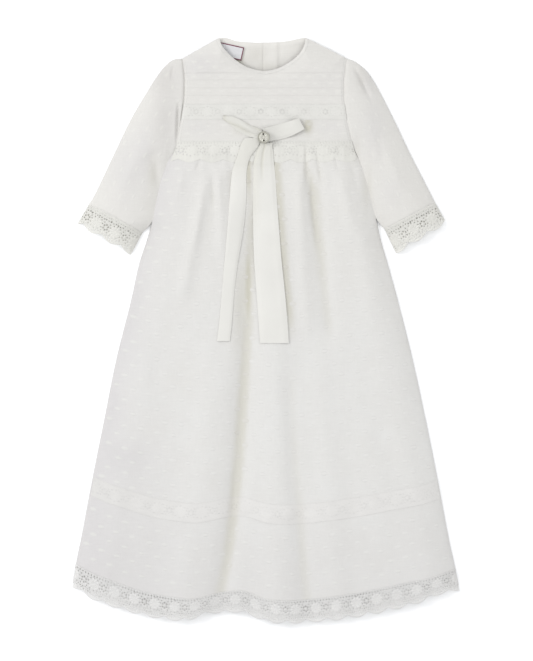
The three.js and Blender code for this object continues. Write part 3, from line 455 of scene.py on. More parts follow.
# ---- materials -----------------------------------------------------------------------
class Nodes:
    """Small helper to lay out a material's nodes."""

    def __init__(self, name, rough, sheen=0.0, metal=0.0):
        self.mat = bpy.data.materials.new(name)
        self.mat.use_nodes = True
        self.tree = self.mat.node_tree
        self.bsdf = self.tree.nodes["Principled BSDF"]
        self.bsdf.inputs["Roughness"].default_value = rough
        self.bsdf.inputs["Metallic"].default_value = metal
        self.bsdf.inputs["Specular IOR Level"].default_value = 0.25
        if sheen:
            self.bsdf.inputs["Sheen Weight"].default_value = sheen
            self.bsdf.inputs["Sheen Roughness"].default_value = 0.5
        self.coords = self.add("ShaderNodeTexCoord").outputs["Object"]

    def add(self, kind, **values):
        node = self.tree.nodes.new(kind)
        for key, value in values.items():
            if hasattr(node, key):
                setattr(node, key, value)
            else:
                node.inputs[key.replace("_", " ")].default_value = value
        return node

    def link(self, a, b):
        self.tree.links.new(a, b)

    def stretched(self, scale, turn=0.0):
        m = self.add("ShaderNodeMapping")
        m.inputs["Scale"].default_value = scale
        m.inputs["Rotation"].default_value = (0, 0, turn)
        self.link(self.coords, m.inputs["Vector"])
        return m.outputs["Vector"]

    def noise(self, scale, detail=2.0, vector=None, rough=0.5):
        n = self.add("ShaderNodeTexNoise")
        n.inputs["Scale"].default_value = scale
        n.inputs["Detail"].default_value = detail
        n.inputs["Roughness"].default_value = rough
        self.link(vector if vector is not None else self.coords, n.inputs["Vector"])
        return n.outputs["Fac"]

    def wave(self, scale, direction, distortion=0.0, vector=None):
        n = self.add("ShaderNodeTexWave", bands_direction=direction)
        n.inputs["Scale"].default_value = scale
        n.inputs["Distortion"].default_value = distortion
        self.link(vector if vector is not None else self.coords, n.inputs["Vector"])
        return n.outputs["Fac"]

    def ramp(self, fac, stops):
        r = self.add("ShaderNodeValToRGB")
        r.color_ramp.elements[0].position, r.color_ramp.elements[0].color = stops[0][0], (*stops[0][1], 1)
        r.color_ramp.elements[1].position, r.color_ramp.elements[1].color = stops[-1][0], (*stops[-1][1], 1)
        for pos, colour in stops[1:-1]:
            r.color_ramp.elements.new(pos).color = (*colour, 1)
        self.link(fac, r.inputs["Fac"])
        return r.outputs["Color"]

    def blend(self, fac, a, b, kind="MIX"):
        m = self.add("ShaderNodeMix", data_type="RGBA", blend_type=kind)
        for value, socket in ((fac, m.inputs[0]), (a, m.inputs[6]), (b, m.inputs[7])):
            if isinstance(value, bpy.types.NodeSocket):
                self.link(value, socket)
            else:
                socket.default_value = value if isinstance(value, float) else (*value, 1)
        return m.outputs[2]

    def attribute(self, name):
        return self.add("ShaderNodeAttribute", attribute_name=name).outputs["Fac"]

    def maths(self, kind, a, b):
        m = self.add("ShaderNodeMath", operation=kind)
        for value, socket in ((a, m.inputs[0]), (b, m.inputs[1])):
            if isinstance(value, bpy.types.NodeSocket):
                self.link(value, socket)
            else:
                socket.default_value = value
        return m.outputs[0]

    def bump(self, height, strength, distance):
        b = self.add("ShaderNodeBump")
        b.inputs["Strength"].default_value = strength
        b.inputs["Distance"].default_value = distance
        self.link(height, b.inputs["Height"])
        self.link(b.outputs["Normal"], self.bsdf.inputs["Normal"])

    def colour(self, socket, through=0.0):
        """Ends the material; through is the share of light that passes the thin cloth."""
        self.link(socket, self.bsdf.inputs["Base Color"])
        if through:
            glow = self.add("ShaderNodeBsdfTranslucent")
            self.link(socket, glow.inputs["Color"])
            both = self.add("ShaderNodeMixShader")
            both.inputs[0].default_value = through
            self.link(self.bsdf.outputs[0], both.inputs[1])
            self.link(glow.outputs[0], both.inputs[2])
            self.link(both.outputs[0], self.tree.nodes["Material Output"].inputs["Surface"])
        return self.mat


def tone(grey, warm=(1.0, 1.0, 1.0)):
    return tuple(grey * w for w in warm)


IVORY = (1.0, 0.984, 0.948)
CREAM = (1.0, 0.982, 0.925)


def cotton(name, grey, turn=0.0):
    n = Nodes(name, rough=0.88, sheen=0.12)
    cloud = n.noise(26.0, 3.0)
    slub = n.noise(1.0, 2.0, n.stretched((90.0, 620.0, 90.0), turn))
    warp = n.noise(1.0, 2.0, n.stretched((560.0, 80.0, 80.0), turn))
    thread = n.maths("ADD", n.maths("MULTIPLY", slub, 0.6), n.maths("MULTIPLY", warp, 0.4))
    base = n.ramp(cloud, [(0.25, tone(grey * 0.985, (1.0, 0.98, 0.94))), (0.75, tone(grey * 1.015, (0.998, 0.985, 0.952)))])
    base = n.blend(n.attribute("warm"), base, tone(grey, (1.0, 0.972, 0.915)))
    # painted shade: the shade share darkens the cloth to a pinkish grey, the warm shadow share to a darker warm olive
    base = n.blend(n.attribute("shade"), base, tone(grey * 0.9, (1.0, 0.97, 0.958)))
    base = n.blend(n.attribute("painted_shadow"), base, tone(grey * 0.82, (1.0, 0.964, 0.825)))
    fine = n.ramp(thread, [(0.3, tone(0.955)), (0.7, tone(1.0))])
    weave_a, weave_b = n.wave(560.0, "X", 1.5), n.wave(560.0, "Y", 1.5)
    n.bump(n.maths("ADD", n.maths("ADD", weave_a, weave_b), n.maths("MULTIPLY", thread, 3.0)), 0.35, 0.00018)
    return n.colour(n.blend(1.0, base, fine, "MULTIPLY"))


def dot_cotton(grey):
    n = Nodes("woven_dots", rough=0.85, sheen=0.1)
    rim = n.attribute("shade")
    tuft = n.noise(900.0, 3.0)
    core = n.ramp(tuft, [(0.3, tone(grey * 0.95, IVORY)), (0.7, tone(grey * 0.99, IVORY))])
    core = n.blend(n.attribute("warm"), core, tone(grey * 0.98, (1.0, 0.972, 0.915)))
    # painted shade on the tufts' long sides, and the warm painted shadow of the cloth below
    core = n.blend(rim, core, tone(grey * 0.87, IVORY))
    n.bump(tuft, 0.5, 0.0003)
    return n.colour(n.blend(n.attribute("painted_shadow"), core, tone(grey * 0.78, (1.0, 0.96, 0.85))))


def lace_cotton(name, grey, through=0.0, tint=IVORY):
    n = Nodes(name, rough=0.85, sheen=0.1)
    edge = n.attribute("shade")
    twist = n.noise(1300.0, 2.0)
    body = n.ramp(n.noise(60.0, 2.0), [(0.3, tone(grey * 0.97, tint)), (0.7, tone(grey * 1.02, tint))])
    body = n.blend(1.0, body, n.ramp(twist, [(0.3, tone(0.93)), (0.7, tone(1.0))]), "MULTIPLY")
    n.bump(twist, 0.5, 0.00025)
    # painted shade at the thread edges, over the net and round the wheel holes; the warm painted shadow of the cloth
    # below
    body = n.blend(edge, body, tone(grey * 0.72, tint))
    return n.colour(n.blend(n.attribute("painted_shadow"), body, tone(grey * 0.8, (1.0, 0.96, 0.85))), through)


def ribbon_silk(name, grey, direction):
    n = Nodes(name, rough=0.5, sheen=0.15)
    rib = n.wave(300.0, direction, 0.25)
    cloud = n.noise(34.0, 2.0)
    base = n.ramp(cloud, [(0.3, tone(grey * 0.985, CREAM)), (0.7, tone(grey * 1.015, CREAM))])
    # warm painted shadow on the ribbon, in its pleats, near the knot and under the bow's leaf
    base = n.blend(n.attribute("painted_shadow"), base, tone(grey * 0.86, (1.0, 0.975, 0.85)))
    n.bump(rib, 0.3, 0.00015)
    return n.colour(n.blend(1.0, base, n.ramp(rib, [(0.0, tone(0.972)), (0.6, tone(1.0))]), "MULTIPLY"))


def pewter():
    n = Nodes("pewter", rough=0.5, metal=0.6)
    deep = n.attribute("shade")
    stain = n.noise(700.0, 4.0)
    face = n.ramp(stain, [(0.3, (0.5, 0.49, 0.437)), (0.7, (0.57, 0.559, 0.503))])
    n.bump(stain, 0.25, 0.0002)
    # painted shade: near black in the holes, darker in the grooves, the middle and round the rim
    return n.colour(n.blend(deep, face, (0.09, 0.085, 0.07)))


def woven(name, colour, pitch):
    n = Nodes(name, rough=0.7, sheen=0.1)
    w = n.maths("ADD", n.wave(pitch, "X", 0.3), n.wave(pitch, "Y", 0.3))
    base = n.ramp(n.noise(300.0, 2.0), [(0.3, tuple(c * 0.94 for c in colour)), (0.7, colour)])
    n.bump(w, 0.3, 0.0001)
    return n.colour(base)


GREY = 0.615
M_COTTON = cotton("dotted_swiss", GREY)
M_SLEEVE = cotton("dotted_swiss_sleeve", GREY, math.radians(60))
# the inside cloth is painted lighter than the front, painted light against the shadow inside the neck
M_BACK = cotton("dotted_swiss_inside", 0.655)
M_DOT = dot_cotton(GREY)
M_LACE = lace_cotton("cotton_lace", 0.82, 0.36, (1.0, 0.986, 0.964))
M_CUFF = lace_cotton("cotton_lace_cuff", 0.755, 0.265, (1.0, 0.984, 0.925))
M_LACE_ON = lace_cotton("cotton_lace_applied", 0.612, tint=(1.0, 0.983, 0.918))
M_LACE_YOKE = lace_cotton("cotton_lace_yoke", 0.607, tint=(1.0, 0.983, 0.928))
M_LACE_IN = lace_cotton("cotton_lace_insertion", 0.62, tint=(1.0, 0.978, 0.944))
M_RIBBON = ribbon_silk("ribbon", 0.605, "Y")
M_RIBBON_BOW = ribbon_silk("ribbon_bow", 0.585, "X")
M_PEWTER = pewter()
M_LABEL = woven("woven_label", (0.6, 0.595, 0.6), 700.0)
M_BORDER = woven("label_border", (0.16, 0.045, 0.075), 700.0)
M_THREAD = woven("thread", (0.6, 0.595, 0.575), 1500.0)


# ---- yoke ----------------------------------------------------------------------------
neck_front, neck_back = curve_of(NECK_FRONT), curve_of(NECK_BACK)


def arm_left(y):
    return np.interp(y, ARMHOLE[::-1, 0], ARMHOLE[::-1, 1])


def arm_right(y):
    return np.interp(y, ARMHOLE[::-1, 0], ARMHOLE[::-1, 2])


def yoke_top(u, neck):
    """Shoulder, neckline and shoulder across the yoke."""
    part = 1 / 6
    left = np.stack([mix(TIP_L[0], NECK_L[0], u / part), mix(TIP_L[1], NECK_L[1], u / part)], -1)
    right = np.stack([mix(TIP_R[0], NECK_R[0], (1 - u) / part), mix(TIP_R[1], NECK_R[1], (1 - u) / part)], -1)
    mid = neck(np.clip((u - part) / (1 - 2 * part), 0, 1))
    return np.where((u <= part)[:, None], left, np.where((u >= 1 - part)[:, None], right, mid))


def tuck_lift(y):
    """A pressed tuck is three layers thick above its folded edge."""
    z = np.zeros(np.shape(y))
    for edge in TUCKS:
        up = y - edge
        z = np.where((up >= 0) & (up < 7.0), np.maximum(z, 0.15 * (1 - 0.75 * smoothstep(up, 0, 7.0))), z)
    return z


def arm_turn(x, y):
    """Both cloths turn down into the armhole seam; on the left it is hidden near the waist."""
    left, right = (to_line(ARMHOLE[:, [k, 0]], x, y)[0] for k in (1, 2))
    return 1.5 * np.exp(-(left / 0.9) ** 2) * smoothstep(y, 248, 270) + 0.6 * np.exp(-(right / 0.9) ** 2)


def yoke_front():
    first = TUCKS[0] + 0.001
    u = across(140)
    top = yoke_top(u, neck_front)
    rows = []
    for v in np.linspace(0, 1, 26, endpoint=False) ** 1.15:
        y = mix(top[:, 1], first, v)
        x = mix(top[:, 0], mix(arm_left(first), arm_right(first), u), v)
        x[0], x[-1] = arm_left(y[0]), arm_right(y[-1])
        rows.append(np.stack([x, y, tuck_lift(y)], -1))
    low = WAIST_Y
    ys = list(np.arange(first, low, -1.6)) + [low]
    for edge in TUCKS:
        ys += [edge + 0.001, edge - 0.12, edge + 1.0, edge + 7.0]
    for y in sorted(set(ys), reverse=True):
        if y > first:
            continue
        x = mix(arm_left(y), arm_right(y), u)
        rows.append(np.stack([x, np.full_like(x, y), np.full_like(x, float(tuck_lift(np.array(y))))], -1))
    grid = np.array(rows)
    x, y, lift = grid[..., 0], grid[..., 1], grid[..., 2].copy()
    # the tucks lie a little unevenly
    lift *= 0.85 + 0.3 * noise2(x, y * 3, 21, 21)
    grid[..., 2] = top_of(x, y) + lift
    # neck edge turned in and rolled
    edge_d, _ = to_line(NECK_FRONT, x, y)
    grid[..., 2] -= 1.1 * np.exp(-(edge_d / 1.6) ** 2)
    grid[..., 2] -= arm_turn(x, y)
    lower = grid.copy()
    lower[..., 2] -= VOILE + 0.4 * np.exp(-(edge_d / 4) ** 2)
    warm = np.tile(0.75 + 0 * x, (2, 1, 1))
    # painted shade in patches over the yoke, and painted shadow beside and under the bow
    shade, painted_shadow = (np.stack([a, a]) for a in painted_shade_at("yoke", x, y))
    return add_piece("yoke_front_cloth", *closed_shell(grid, lower), M_COTTON, "dotted_swiss", node="yoke_front", warm=warm, shade=shade, painted_shadow=painted_shadow)


def yoke_back(side):
    u = np.linspace(0, 1, 70)
    rows, low = [], WAIST_Y
    if side == "left":
        x_in = PLACKET["right"]
        x_top = mix(TIP_L[0], x_in, u)
    else:
        x_in = PLACKET["left"]
        x_top = mix(x_in, TIP_R[0], u)

    def top_y(x):
        y = smooth_at(NECK_BACK[:, 0], NECK_BACK[:, 1], x)
        y = np.where(x < NECK_L[0], mix(TIP_L[1], NECK_L[1], (x - TIP_L[0]) / (NECK_L[0] - TIP_L[0])), y)
        return np.where(x > NECK_R[0], mix(TIP_R[1], NECK_R[1], (TIP_R[0] - x) / (TIP_R[0] - NECK_R[0])), y)

    y_top = top_y(x_top)
    for v in np.linspace(0, 1, 70):
        y = mix(y_top, low, v)
        arm_y = mix(TIP_L[1], low, v)
        if side == "left":
            k = (x_in - x_top) / (x_in - TIP_L[0])
            x = x_top + k * (arm_left(arm_y) - TIP_L[0])
        else:
            k = (x_top - x_in) / (TIP_R[0] - x_in)
            x = x_top + k * (arm_right(arm_y) - TIP_R[0])
        z = 0.75 + 0.25 * noise2(x, y, 20, 31) + 0.25 * noise2(x, y, 9, 32)
        if side == "right":                      # steps up over the left half at the placket
            z += 1.35 * (1 - smoothstep(x, PLACKET["right"] + 0.5, PLACKET["right"] + PLACKET["step"]))
        edge = np.abs(y_top - y)
        z += 0.7 * np.exp(-((edge - 5.0) / 2.6) ** 2)      # turned neck edge
        if side == "right":
            z += 0.35 * np.exp(-((x - PLACKET["left"] - 1.6) / 1.2) ** 2)
        rows.append(np.stack([x, y, z], -1))
    grid = np.array(rows)
    lower = grid.copy()
    lower[..., 2] -= VOILE
    warm = np.ones((2, *grid.shape[:2]))
    # painted shade and painted shadow inside the neck, darkest in the front neckline's shadow by the label
    shade, painted_shadow = (np.stack([a, a]) for a in painted_shade_at("neck", grid[..., 0], grid[..., 1]))
    return add_piece(f"yoke_back_{side}_cloth", *closed_shell(grid, lower), M_BACK, "dotted_swiss", node=f"yoke_back_{side}", warm=warm, shade=shade, painted_shadow=painted_shadow)


# ---- skirt ---------------------------------------------------------------------------
def hem_x(u):
    return mix(HEM[0, 0], HEM[-1, 0], u)


def hem_y(u):
    return smooth_at(HEM[:, 0], HEM[:, 1], hem_x(u))


def side_x(column, y):
    return smooth_at(SKIRT_SIDE[:, 0], SKIRT_SIDE[:, column], y)


def skirt_plan(u, v):
    """Plan of the skirt: across by u, from waist to hem by v."""
    u, v = np.broadcast_arrays(np.asarray(u, float), np.asarray(v, float))
    y = mix(WAIST_Y, hem_y(u), v)
    yr = mix(WAIST_Y, HEM[-1, 1], v)
    xl, xr = side_x(1, mix(WAIST_Y, HEM[0, 1], v)), side_x(2, yr)
    xr = xr + 0.9 * smoothstep(yr, 142, 158) * (1 - smoothstep(yr, 196, 226))
    return mix(xl, xr, u), y, xl, xr


def rolled(z, d, foot, reach):
    """Turns an edge down to a foot height within a small reach."""
    t = np.clip(d / reach, 0, 1)
    return foot + (z - foot) * np.sqrt(np.maximum(1 - (1 - t) ** 2, 0))


def across(count):
    """Stations across a panel, close together at both edges."""
    edge = np.array([0, 0.0006, 0.0018, 0.004, 0.0075])
    return np.concatenate([edge, np.linspace(0.0125, 0.9875, count), 1 - edge[::-1]])


def skirt_tone(x, y):
    """Grey, warm and shadow shares over the front skirt: the grey share is painted shade at the left side and makes the
    cloth darker towards the hem; the shadow share is painted shadow in the folds and beside the right tail.
    """
    v = (WAIST_Y - y) / (WAIST_Y - smooth_at(HEM[:, 0], HEM[:, 1], x))
    from_left, from_right = x - side_x(1, y), side_x(2, y) - x
    low_left = (1 - smoothstep(x, -190, -60)) * smoothstep(v, 0.5, 0.85)
    shade = 0.85 * np.exp(-np.maximum(from_left, 0) / 26.0) + 0.3 * smoothstep(v, 0.7, 1.0) + 0.35 * low_left
    grey, deep = painted_shade_at("skirt", x, y)
    fold = hollow_at(x, y) * smoothstep(np.minimum(from_left, from_right), 20, 50) * 0.6
    off = x - np.interp(y, TAIL_RIGHT[::-1, 0], TAIL_RIGHT[::-1, 2])       # in the painted shadow of the right tail
    beside = 0.78 * smoothstep(off, -3, 1) * (1 - smoothstep(off, 3, 13)) * (1 - smoothstep(y, 222, 240)) * smoothstep(y, -18, 30)
    return np.minimum(shade + grey, 1), 0.45 * (1 - smoothstep(v, 0.0, 0.6)), np.maximum(np.maximum(fold, deep), beside)


def skirt_front():
    u, v = np.meshgrid(across(160), np.linspace(0, 1, 216))
    x, y, xl, xr = skirt_plan(u, v)
    top = top_of(x, y)
    held = np.where(x < 0, smoothstep(y, 127, 142), smoothstep(y, 131, 146))     # lies against the sleeves here
    d = np.minimum(x - xl, xr - x)
    z = rolled(top, d, mix(0.9, top - np.where(x < 0, 0.3, 0.8), held), 3.0)
    grid = np.stack([x, y, z], -1)
    lower = grid.copy()
    lower[..., 2] -= VOILE
    # painted shade and painted shadow over the skirt
    shade, warm, painted_shadow = (np.stack([a, a]) for a in skirt_tone(x, y))
    return add_piece("skirt_front_cloth", *closed_shell(grid, lower), M_COTTON, "dotted_swiss", node="skirt_front", shade=shade, warm=warm, painted_shadow=painted_shadow)


def back_rise(x, y, xl, xr):
    """Low ripples of the back, flat where it rests."""
    inside = smoothstep(np.minimum(x - xl, xr - x), 6, 40)
    ripple = np.maximum(noise2(x + 0.12 * y, y * 0.16, 26, 41) - 0.25, 0)
    return 1.5 * ripple * inside


def skirt_back():
    u, v = np.meshgrid(np.linspace(0, 1, 86), np.linspace(0, 1, 102))
    x, y, xl, xr = skirt_plan(u, v)
    grid = np.stack([x, y, 0.7 + back_rise(x, y, xl, xr)], -1)
    lower = grid.copy()
    lower[..., 2] -= VOILE
    plain = np.zeros((2, *grid.shape[:2]))
    return add_piece("skirt_back_cloth", *closed_shell(grid, lower), M_BACK, "dotted_swiss", node="skirt_back", shade=plain, warm=plain + 0.3)


# ---- sleeves -------------------------------------------------------------------------
SIDE_COLUMN = {"left": 0, "right": 2}
ARM_COLUMN = {"left": 1, "right": 2}


def sleeve_plan(side):
    k = SIDE_COLUMN[side]
    out, inn = curve_of(SLEEVE_OUT[:, k:k + 2]), curve_of(SLEEVE_SHOWN[:, k:k + 2])
    arm = np.stack([ARMHOLE[:, ARM_COLUMN[side]], ARMHOLE[:, 0]], -1)
    arm[-1] = SLEEVE_SHOWN[0, k:k + 2]
    a0, a1 = np.array(SLEEVE_OUT[-1, k:k + 2]), np.array(SLEEVE_IN[-1, k:k + 2])
    at = np.linspace(0, 1, len(arm))

    def plan(u, v):
        """Patch between armhole, cuff line, outer edge and inner edge."""
        u, v = np.broadcast_arrays(np.asarray(u, float), np.asarray(v, float))
        U, V = u[..., None], v[..., None]
        a = np.stack([np.interp(u, at, arm[:, j]) for j in (0, 1)], -1)
        b = mix(a0, a1, U)
        return ((1 - V) * a + V * b + (1 - U) * out(v) + U * inn(v)
                - ((1 - V) * (1 - U) * arm[0] + (1 - V) * U * arm[-1] + V * (1 - U) * a0 + V * U * a1))
    return plan, a0, a1


def sleeve(side):
    plan, a0, a1 = sleeve_plan(side)
    v = np.concatenate([[0, 0.003, 0.006, 0.01, 0.015], np.linspace(0.022, 1, 100)])
    u = across(80)
    U, V = np.meshgrid(u, v)
    p = plan(U, V)
    x, y = p[..., 0], p[..., 1]
    width = np.linalg.norm(p[:, -1] - p[:, 0], axis=-1)[:, None]
    d = np.minimum(U, 1 - U) * width
    top = top_of(x, y)
    held = smoothstep(y, 127, 142) * (U > 0.5)
    z = rolled(top, d, mix(1.5, top - (0.3 if side == "left" else 0.8), held), 3.0) - arm_turn(x, y)
    upper = np.stack([x, y, z], -1)
    back = p[:, ::-1]
    low_z = 0.35 + 0.6 * np.maximum(noise2(back[..., 0], back[..., 1] * 0.4, 22, 51) - 0.3, 0) * smoothstep(d[:, ::-1], 4, 18)
    low_z = np.where(d[:, ::-1] < 0.1, 1.2, low_z)
    lower = np.stack([back[..., 0], back[..., 1], low_z], -1)
    loop = np.concatenate([upper, lower], 1)
    if side == "right":
        loop = loop[:, ::-1]
    n = normals_of(loop, wrap=True)
    inner = loop - n * 0.45
    inner[..., 2] = np.clip(inner[..., 2], 0.1, None)
    verts, faces = closed_shell(loop, inner, wrap=True)
    warm = np.full((2, *loop.shape[:2]), 0.75)
    # painted shade and painted shadow on the sleeve, from the table of painted shade
    shade, painted_shadow = (np.stack([a, a]) for a in painted_shade_at(f"sleeve_{side}", loop[..., 0], loop[..., 1]))
    return add_piece(f"sleeve_{side}_cloth", verts, faces, M_SLEEVE, "dotted_swiss", node=f"sleeve_{side}", warm=warm, shade=shade, painted_shadow=painted_shadow)


# ---- lace ----------------------------------------------------------------------------
TILE, TALL = 28.0, 29.0        # repeat and height of the scalloped lace
SCALLOP = 4.5
FLOWER, WHEEL = 7.0, 21.0      # where they stand in the repeat
# middle and reach of the flowers, slotted footing, rows of net above and below them
LACE_KIND = {
    "hem": {"mid": 11.6, "reach": 6.1, "slots": True, "above": (), "below": (19.4, 22.0, 24.6)},
    "cuff": {"mid": 15.4, "reach": 6.1, "slots": False, "above": (3.2, 6.6), "below": (23.2, 25.8)},
    "waist": {"mid": 12.8, "reach": 6.1, "slots": True, "above": (), "below": ()},
    "band": {"mid": 0.0, "reach": 6.3, "slots": False, "above": (), "below": ()}}


def lace_field(s, t, tall, kind, fine=1.0):
    """Thread where positive: flowers and wheels in turn, in a net with a footing and an edge.
    Returns the distance into the thread, the height of the raised work, the open net and the wheels."""
    K = LACE_KIND[kind]
    uneven = lambda i, k: np.mod(np.sin(np.round(2 * i) * 12.9898 + k * 78.233) * 43758.5453, 1.0)
    scalloped = kind != "band"
    near = lambda at, c: np.mod(at - c + TILE / 2, TILE) - TILE / 2
    lobe_at = lambda at: TALL - SCALLOP * (1 - np.abs(np.cos(np.pi * (at - FLOWER) / TILE)))
    mid = K["mid"] if scalloped else tall / 2
    reach = K["reach"] if scalloped else min(K["reach"], 0.265 * tall)
    q = reach / 6.3
    wide = 1.14                                 # flowers are wider than tall
    f = np.minimum(t, 99.0)
    if scalloped:
        lobe = lobe_at(s) - 0.45 * (1 - np.abs(np.sin(np.pi * s / 2.0)))      # small loops along the edge
        f = np.minimum(f, lobe - t)
    else:
        f = np.minimum(f, tall - t)

    open_here = fine * (0.9 + 0.28 * noise2(s, 0 * s, 38, 71))          # the work is opener in some places

    def hole(cx, cy, r, rx=1.0):
        nonlocal f
        f = np.minimum(f, np.hypot(near(s, cx) / rx, t - cy) - r * open_here)

    def slots(cy, hx, hy):
        nonlocal f
        pitch = TILE / 7
        a = np.abs(np.mod(s, pitch) - pitch / 2) - hx * open_here + 0.3
        b = np.abs(t - cy) - hy * open_here + 0.3
        f = np.minimum(f, np.hypot(np.maximum(a, 0), np.maximum(b, 0)) + np.minimum(np.maximum(a, b), 0) - 0.3)

    def net(rows, r, count):
        nonlocal f
        pitch = TILE / count
        for k, cy in enumerate(rows):
            off = np.mod(s + (k % 2) * pitch / 2, pitch) - pitch / 2
            at = s - off
            clear = (np.hypot(near(at, FLOWER) / wide, cy - mid) > reach + 2.2) & (np.hypot(near(at, WHEEL), cy - mid) > 6.4)
            clear &= lobe_at(at) - cy > 1.6
            size = r * (0.65 + 0.6 * uneven(at / pitch, k)) * (0.6 + 0.4 * float(smoothstep(cy, 3, 7)))
            ax, ay = off - 0.7 * (uneven(at / pitch, k + 11) - 0.5), t - cy - 0.9 * (uneven(at / pitch, k + 23) - 0.5)
            f = np.where(clear, np.minimum(f, np.hypot(ax, ay) - size * open_here), f)

    if K["slots"]:
        slots(2.7, 0.56, 0.9)
        if not scalloped:
            slots(tall - 2.7, 0.56, 0.9)
    net(K["above"], 0.86, 8)
    net(K["below"], 0.72, 9)
    for k in range(10):                         # holes round the flower
        a = math.radians(18 + 36 * k)
        hole(FLOWER + wide * 7.5 * q * math.cos(a), mid + 7.5 * q * math.sin(a), 0.72 * q)
    for k in range(6):                          # spokes of the wheel
        a = math.radians(30 + 60 * k)
        hole(WHEEL + 3.3 * q * math.cos(a), mid + 3.3 * q * math.sin(a), 1.0 * q)
    for sx in (-1, 1):
        for sy in (-1, 1):
            hole(WHEEL + 4.4 * sx, mid + 5.4 * q * sy, 0.75 * q)
            if not scalloped:
                hole(WHEEL + 7.9 * sx, mid + 6.0 * q * sy, 0.7 * q)
    r = np.hypot(near(s, FLOWER) / wide, t - mid)
    a = np.arctan2(t - mid, near(s, FLOWER) / wide)
    petals = (0.45 + 0.4 * np.cos(10 * a)) * smoothstep(r, 1.2 * q, 3.2 * q) * (1 - smoothstep(r, 5.4 * q, 7.0 * q)) + 0.5 * (1 - smoothstep(r, 1.0 * q, 2.0 * q))
    rr = np.hypot(near(s, WHEEL), t - mid)
    petals = petals + 0.45 * (1 - smoothstep(rr, 1.2 * q, 2.2 * q)) + 0.3 * np.exp(-((rr - 5.2 * q) / 0.8) ** 2)
    if scalloped:
        petals = petals + 0.15 * np.exp(-((lobe - t - 0.9) / 0.8) ** 2)
    return f, petals, smoothstep(r, 5.6 * q, 7.2 * q), 1 - smoothstep(rr, 4.6 * q, 6.2 * q)


def lace_sheet(length, tall, kind, phase, cell, place, fine=1.0, soft=1.0, rim=0.0):
    """Cuts the lace out of a grid and lays it by place(s, t, raise)."""
    ns, nt = max(2, round(length / cell)), max(2, round(tall / cell))
    s, t = np.meshgrid(np.linspace(0, length, ns + 1), np.linspace(0, tall, nt + 1), indexing="ij")
    f, work, net, wheel = lace_field(s + phase, t, tall, kind, fine)
    S, T, F, W, N, R = s.ravel(), t.ravel(), f.ravel(), work.ravel(), net.ravel(), wheel.ravel()
    F = np.where(np.abs(F) < 1e-6, 1e-6, F)
    i, j = np.meshgrid(np.arange(ns), np.arange(nt), indexing="ij")
    n00 = (i * (nt + 1) + j).ravel()
    n10, n01, n11 = n00 + nt + 1, n00 + 1, n00 + nt + 2
    odd = ((i + j) % 2).ravel().astype(bool)
    tri = np.concatenate([
        np.stack([n00, n10, n11], -1)[~odd], np.stack([n00, n11, n01], -1)[~odd],
        np.stack([n00, n10, n01], -1)[odd], np.stack([n10, n11, n01], -1)[odd]])
    inside = F[tri] > 0
    count = inside.sum(1)
    full = tri[count == 3]
    big = len(F)
    out, keys = [full], []

    def crossing(a, b):
        return np.minimum(a, b).astype(np.int64) * big + np.maximum(a, b)

    one, two = tri[count == 1], tri[count == 2]
    k = np.argmax(F[one] > 0, 1)
    rows = np.arange(len(one))
    a, b, c = one[rows, k], one[rows, (k + 1) % 3], one[rows, (k + 2) % 3]
    one_ab, one_ac = crossing(a, b), crossing(a, c)
    k = np.argmin(F[two] > 0, 1)
    rows = np.arange(len(two))
    o, p, q = two[rows, k], two[rows, (k + 1) % 3], two[rows, (k + 2) % 3]
    two_op, two_oq = crossing(o, p), crossing(o, q)
    keys, back = np.unique(np.concatenate([one_ab, one_ac, two_op, two_oq]), return_inverse=True)
    lo, hi = keys // big, keys % big
    w = F[lo] / (F[lo] - F[hi])
    es, et = S[lo] + (S[hi] - S[lo]) * w, T[lo] + (T[hi] - T[lo]) * w
    e = big + back
    m1, m2 = len(one), len(two)
    e_ab, e_ac, e_op, e_oq = e[:m1], e[m1:2 * m1], e[2 * m1:2 * m1 + m2], e[2 * m1 + m2:]
    out += [np.stack([a, e_ab, e_ac], -1), np.stack([p, q, e_oq], -1), np.stack([p, e_oq, e_op], -1)]
    faces = np.concatenate(out)
    used, faces = np.unique(faces, return_inverse=True)
    faces = faces.reshape(-1, 3)
    S2, T2 = np.concatenate([S, es])[used], np.concatenate([T, et])[used]
    depth = np.concatenate([F, np.zeros(len(keys))])[used]
    raised = np.concatenate([W, np.zeros(len(keys))])[used]
    lift = 0.5 * (1 - np.exp(-depth / 0.45)) + 0.75 * raised * np.minimum(depth / 0.4, 1)
    open_work, wheels = (np.concatenate([A, A[lo] + (A[hi] - A[lo]) * w])[used] for A in (N, R))
    # painted shade: darker along the thread edges, over the fine net in place of its holes, and round the wheel holes
    shade = soft * (np.exp(-depth / 0.22) * 0.1 + 0.3 * open_work)
    shade = shade + rim * wheels * np.exp(-depth / 0.4) * smoothstep(noise2(S2, T2, 15, 61), -0.35, 0.6)
    return place(S2, T2, lift), faces, shade


def face_up(verts, faces):
    """Turns all faces so that their sum looks up."""
    n = np.cross(verts[faces[:, 1]] - verts[faces[:, 0]], verts[faces[:, 2]] - verts[faces[:, 0]])
    return faces if n[:, 2].sum() > 0 else faces[:, ::-1]


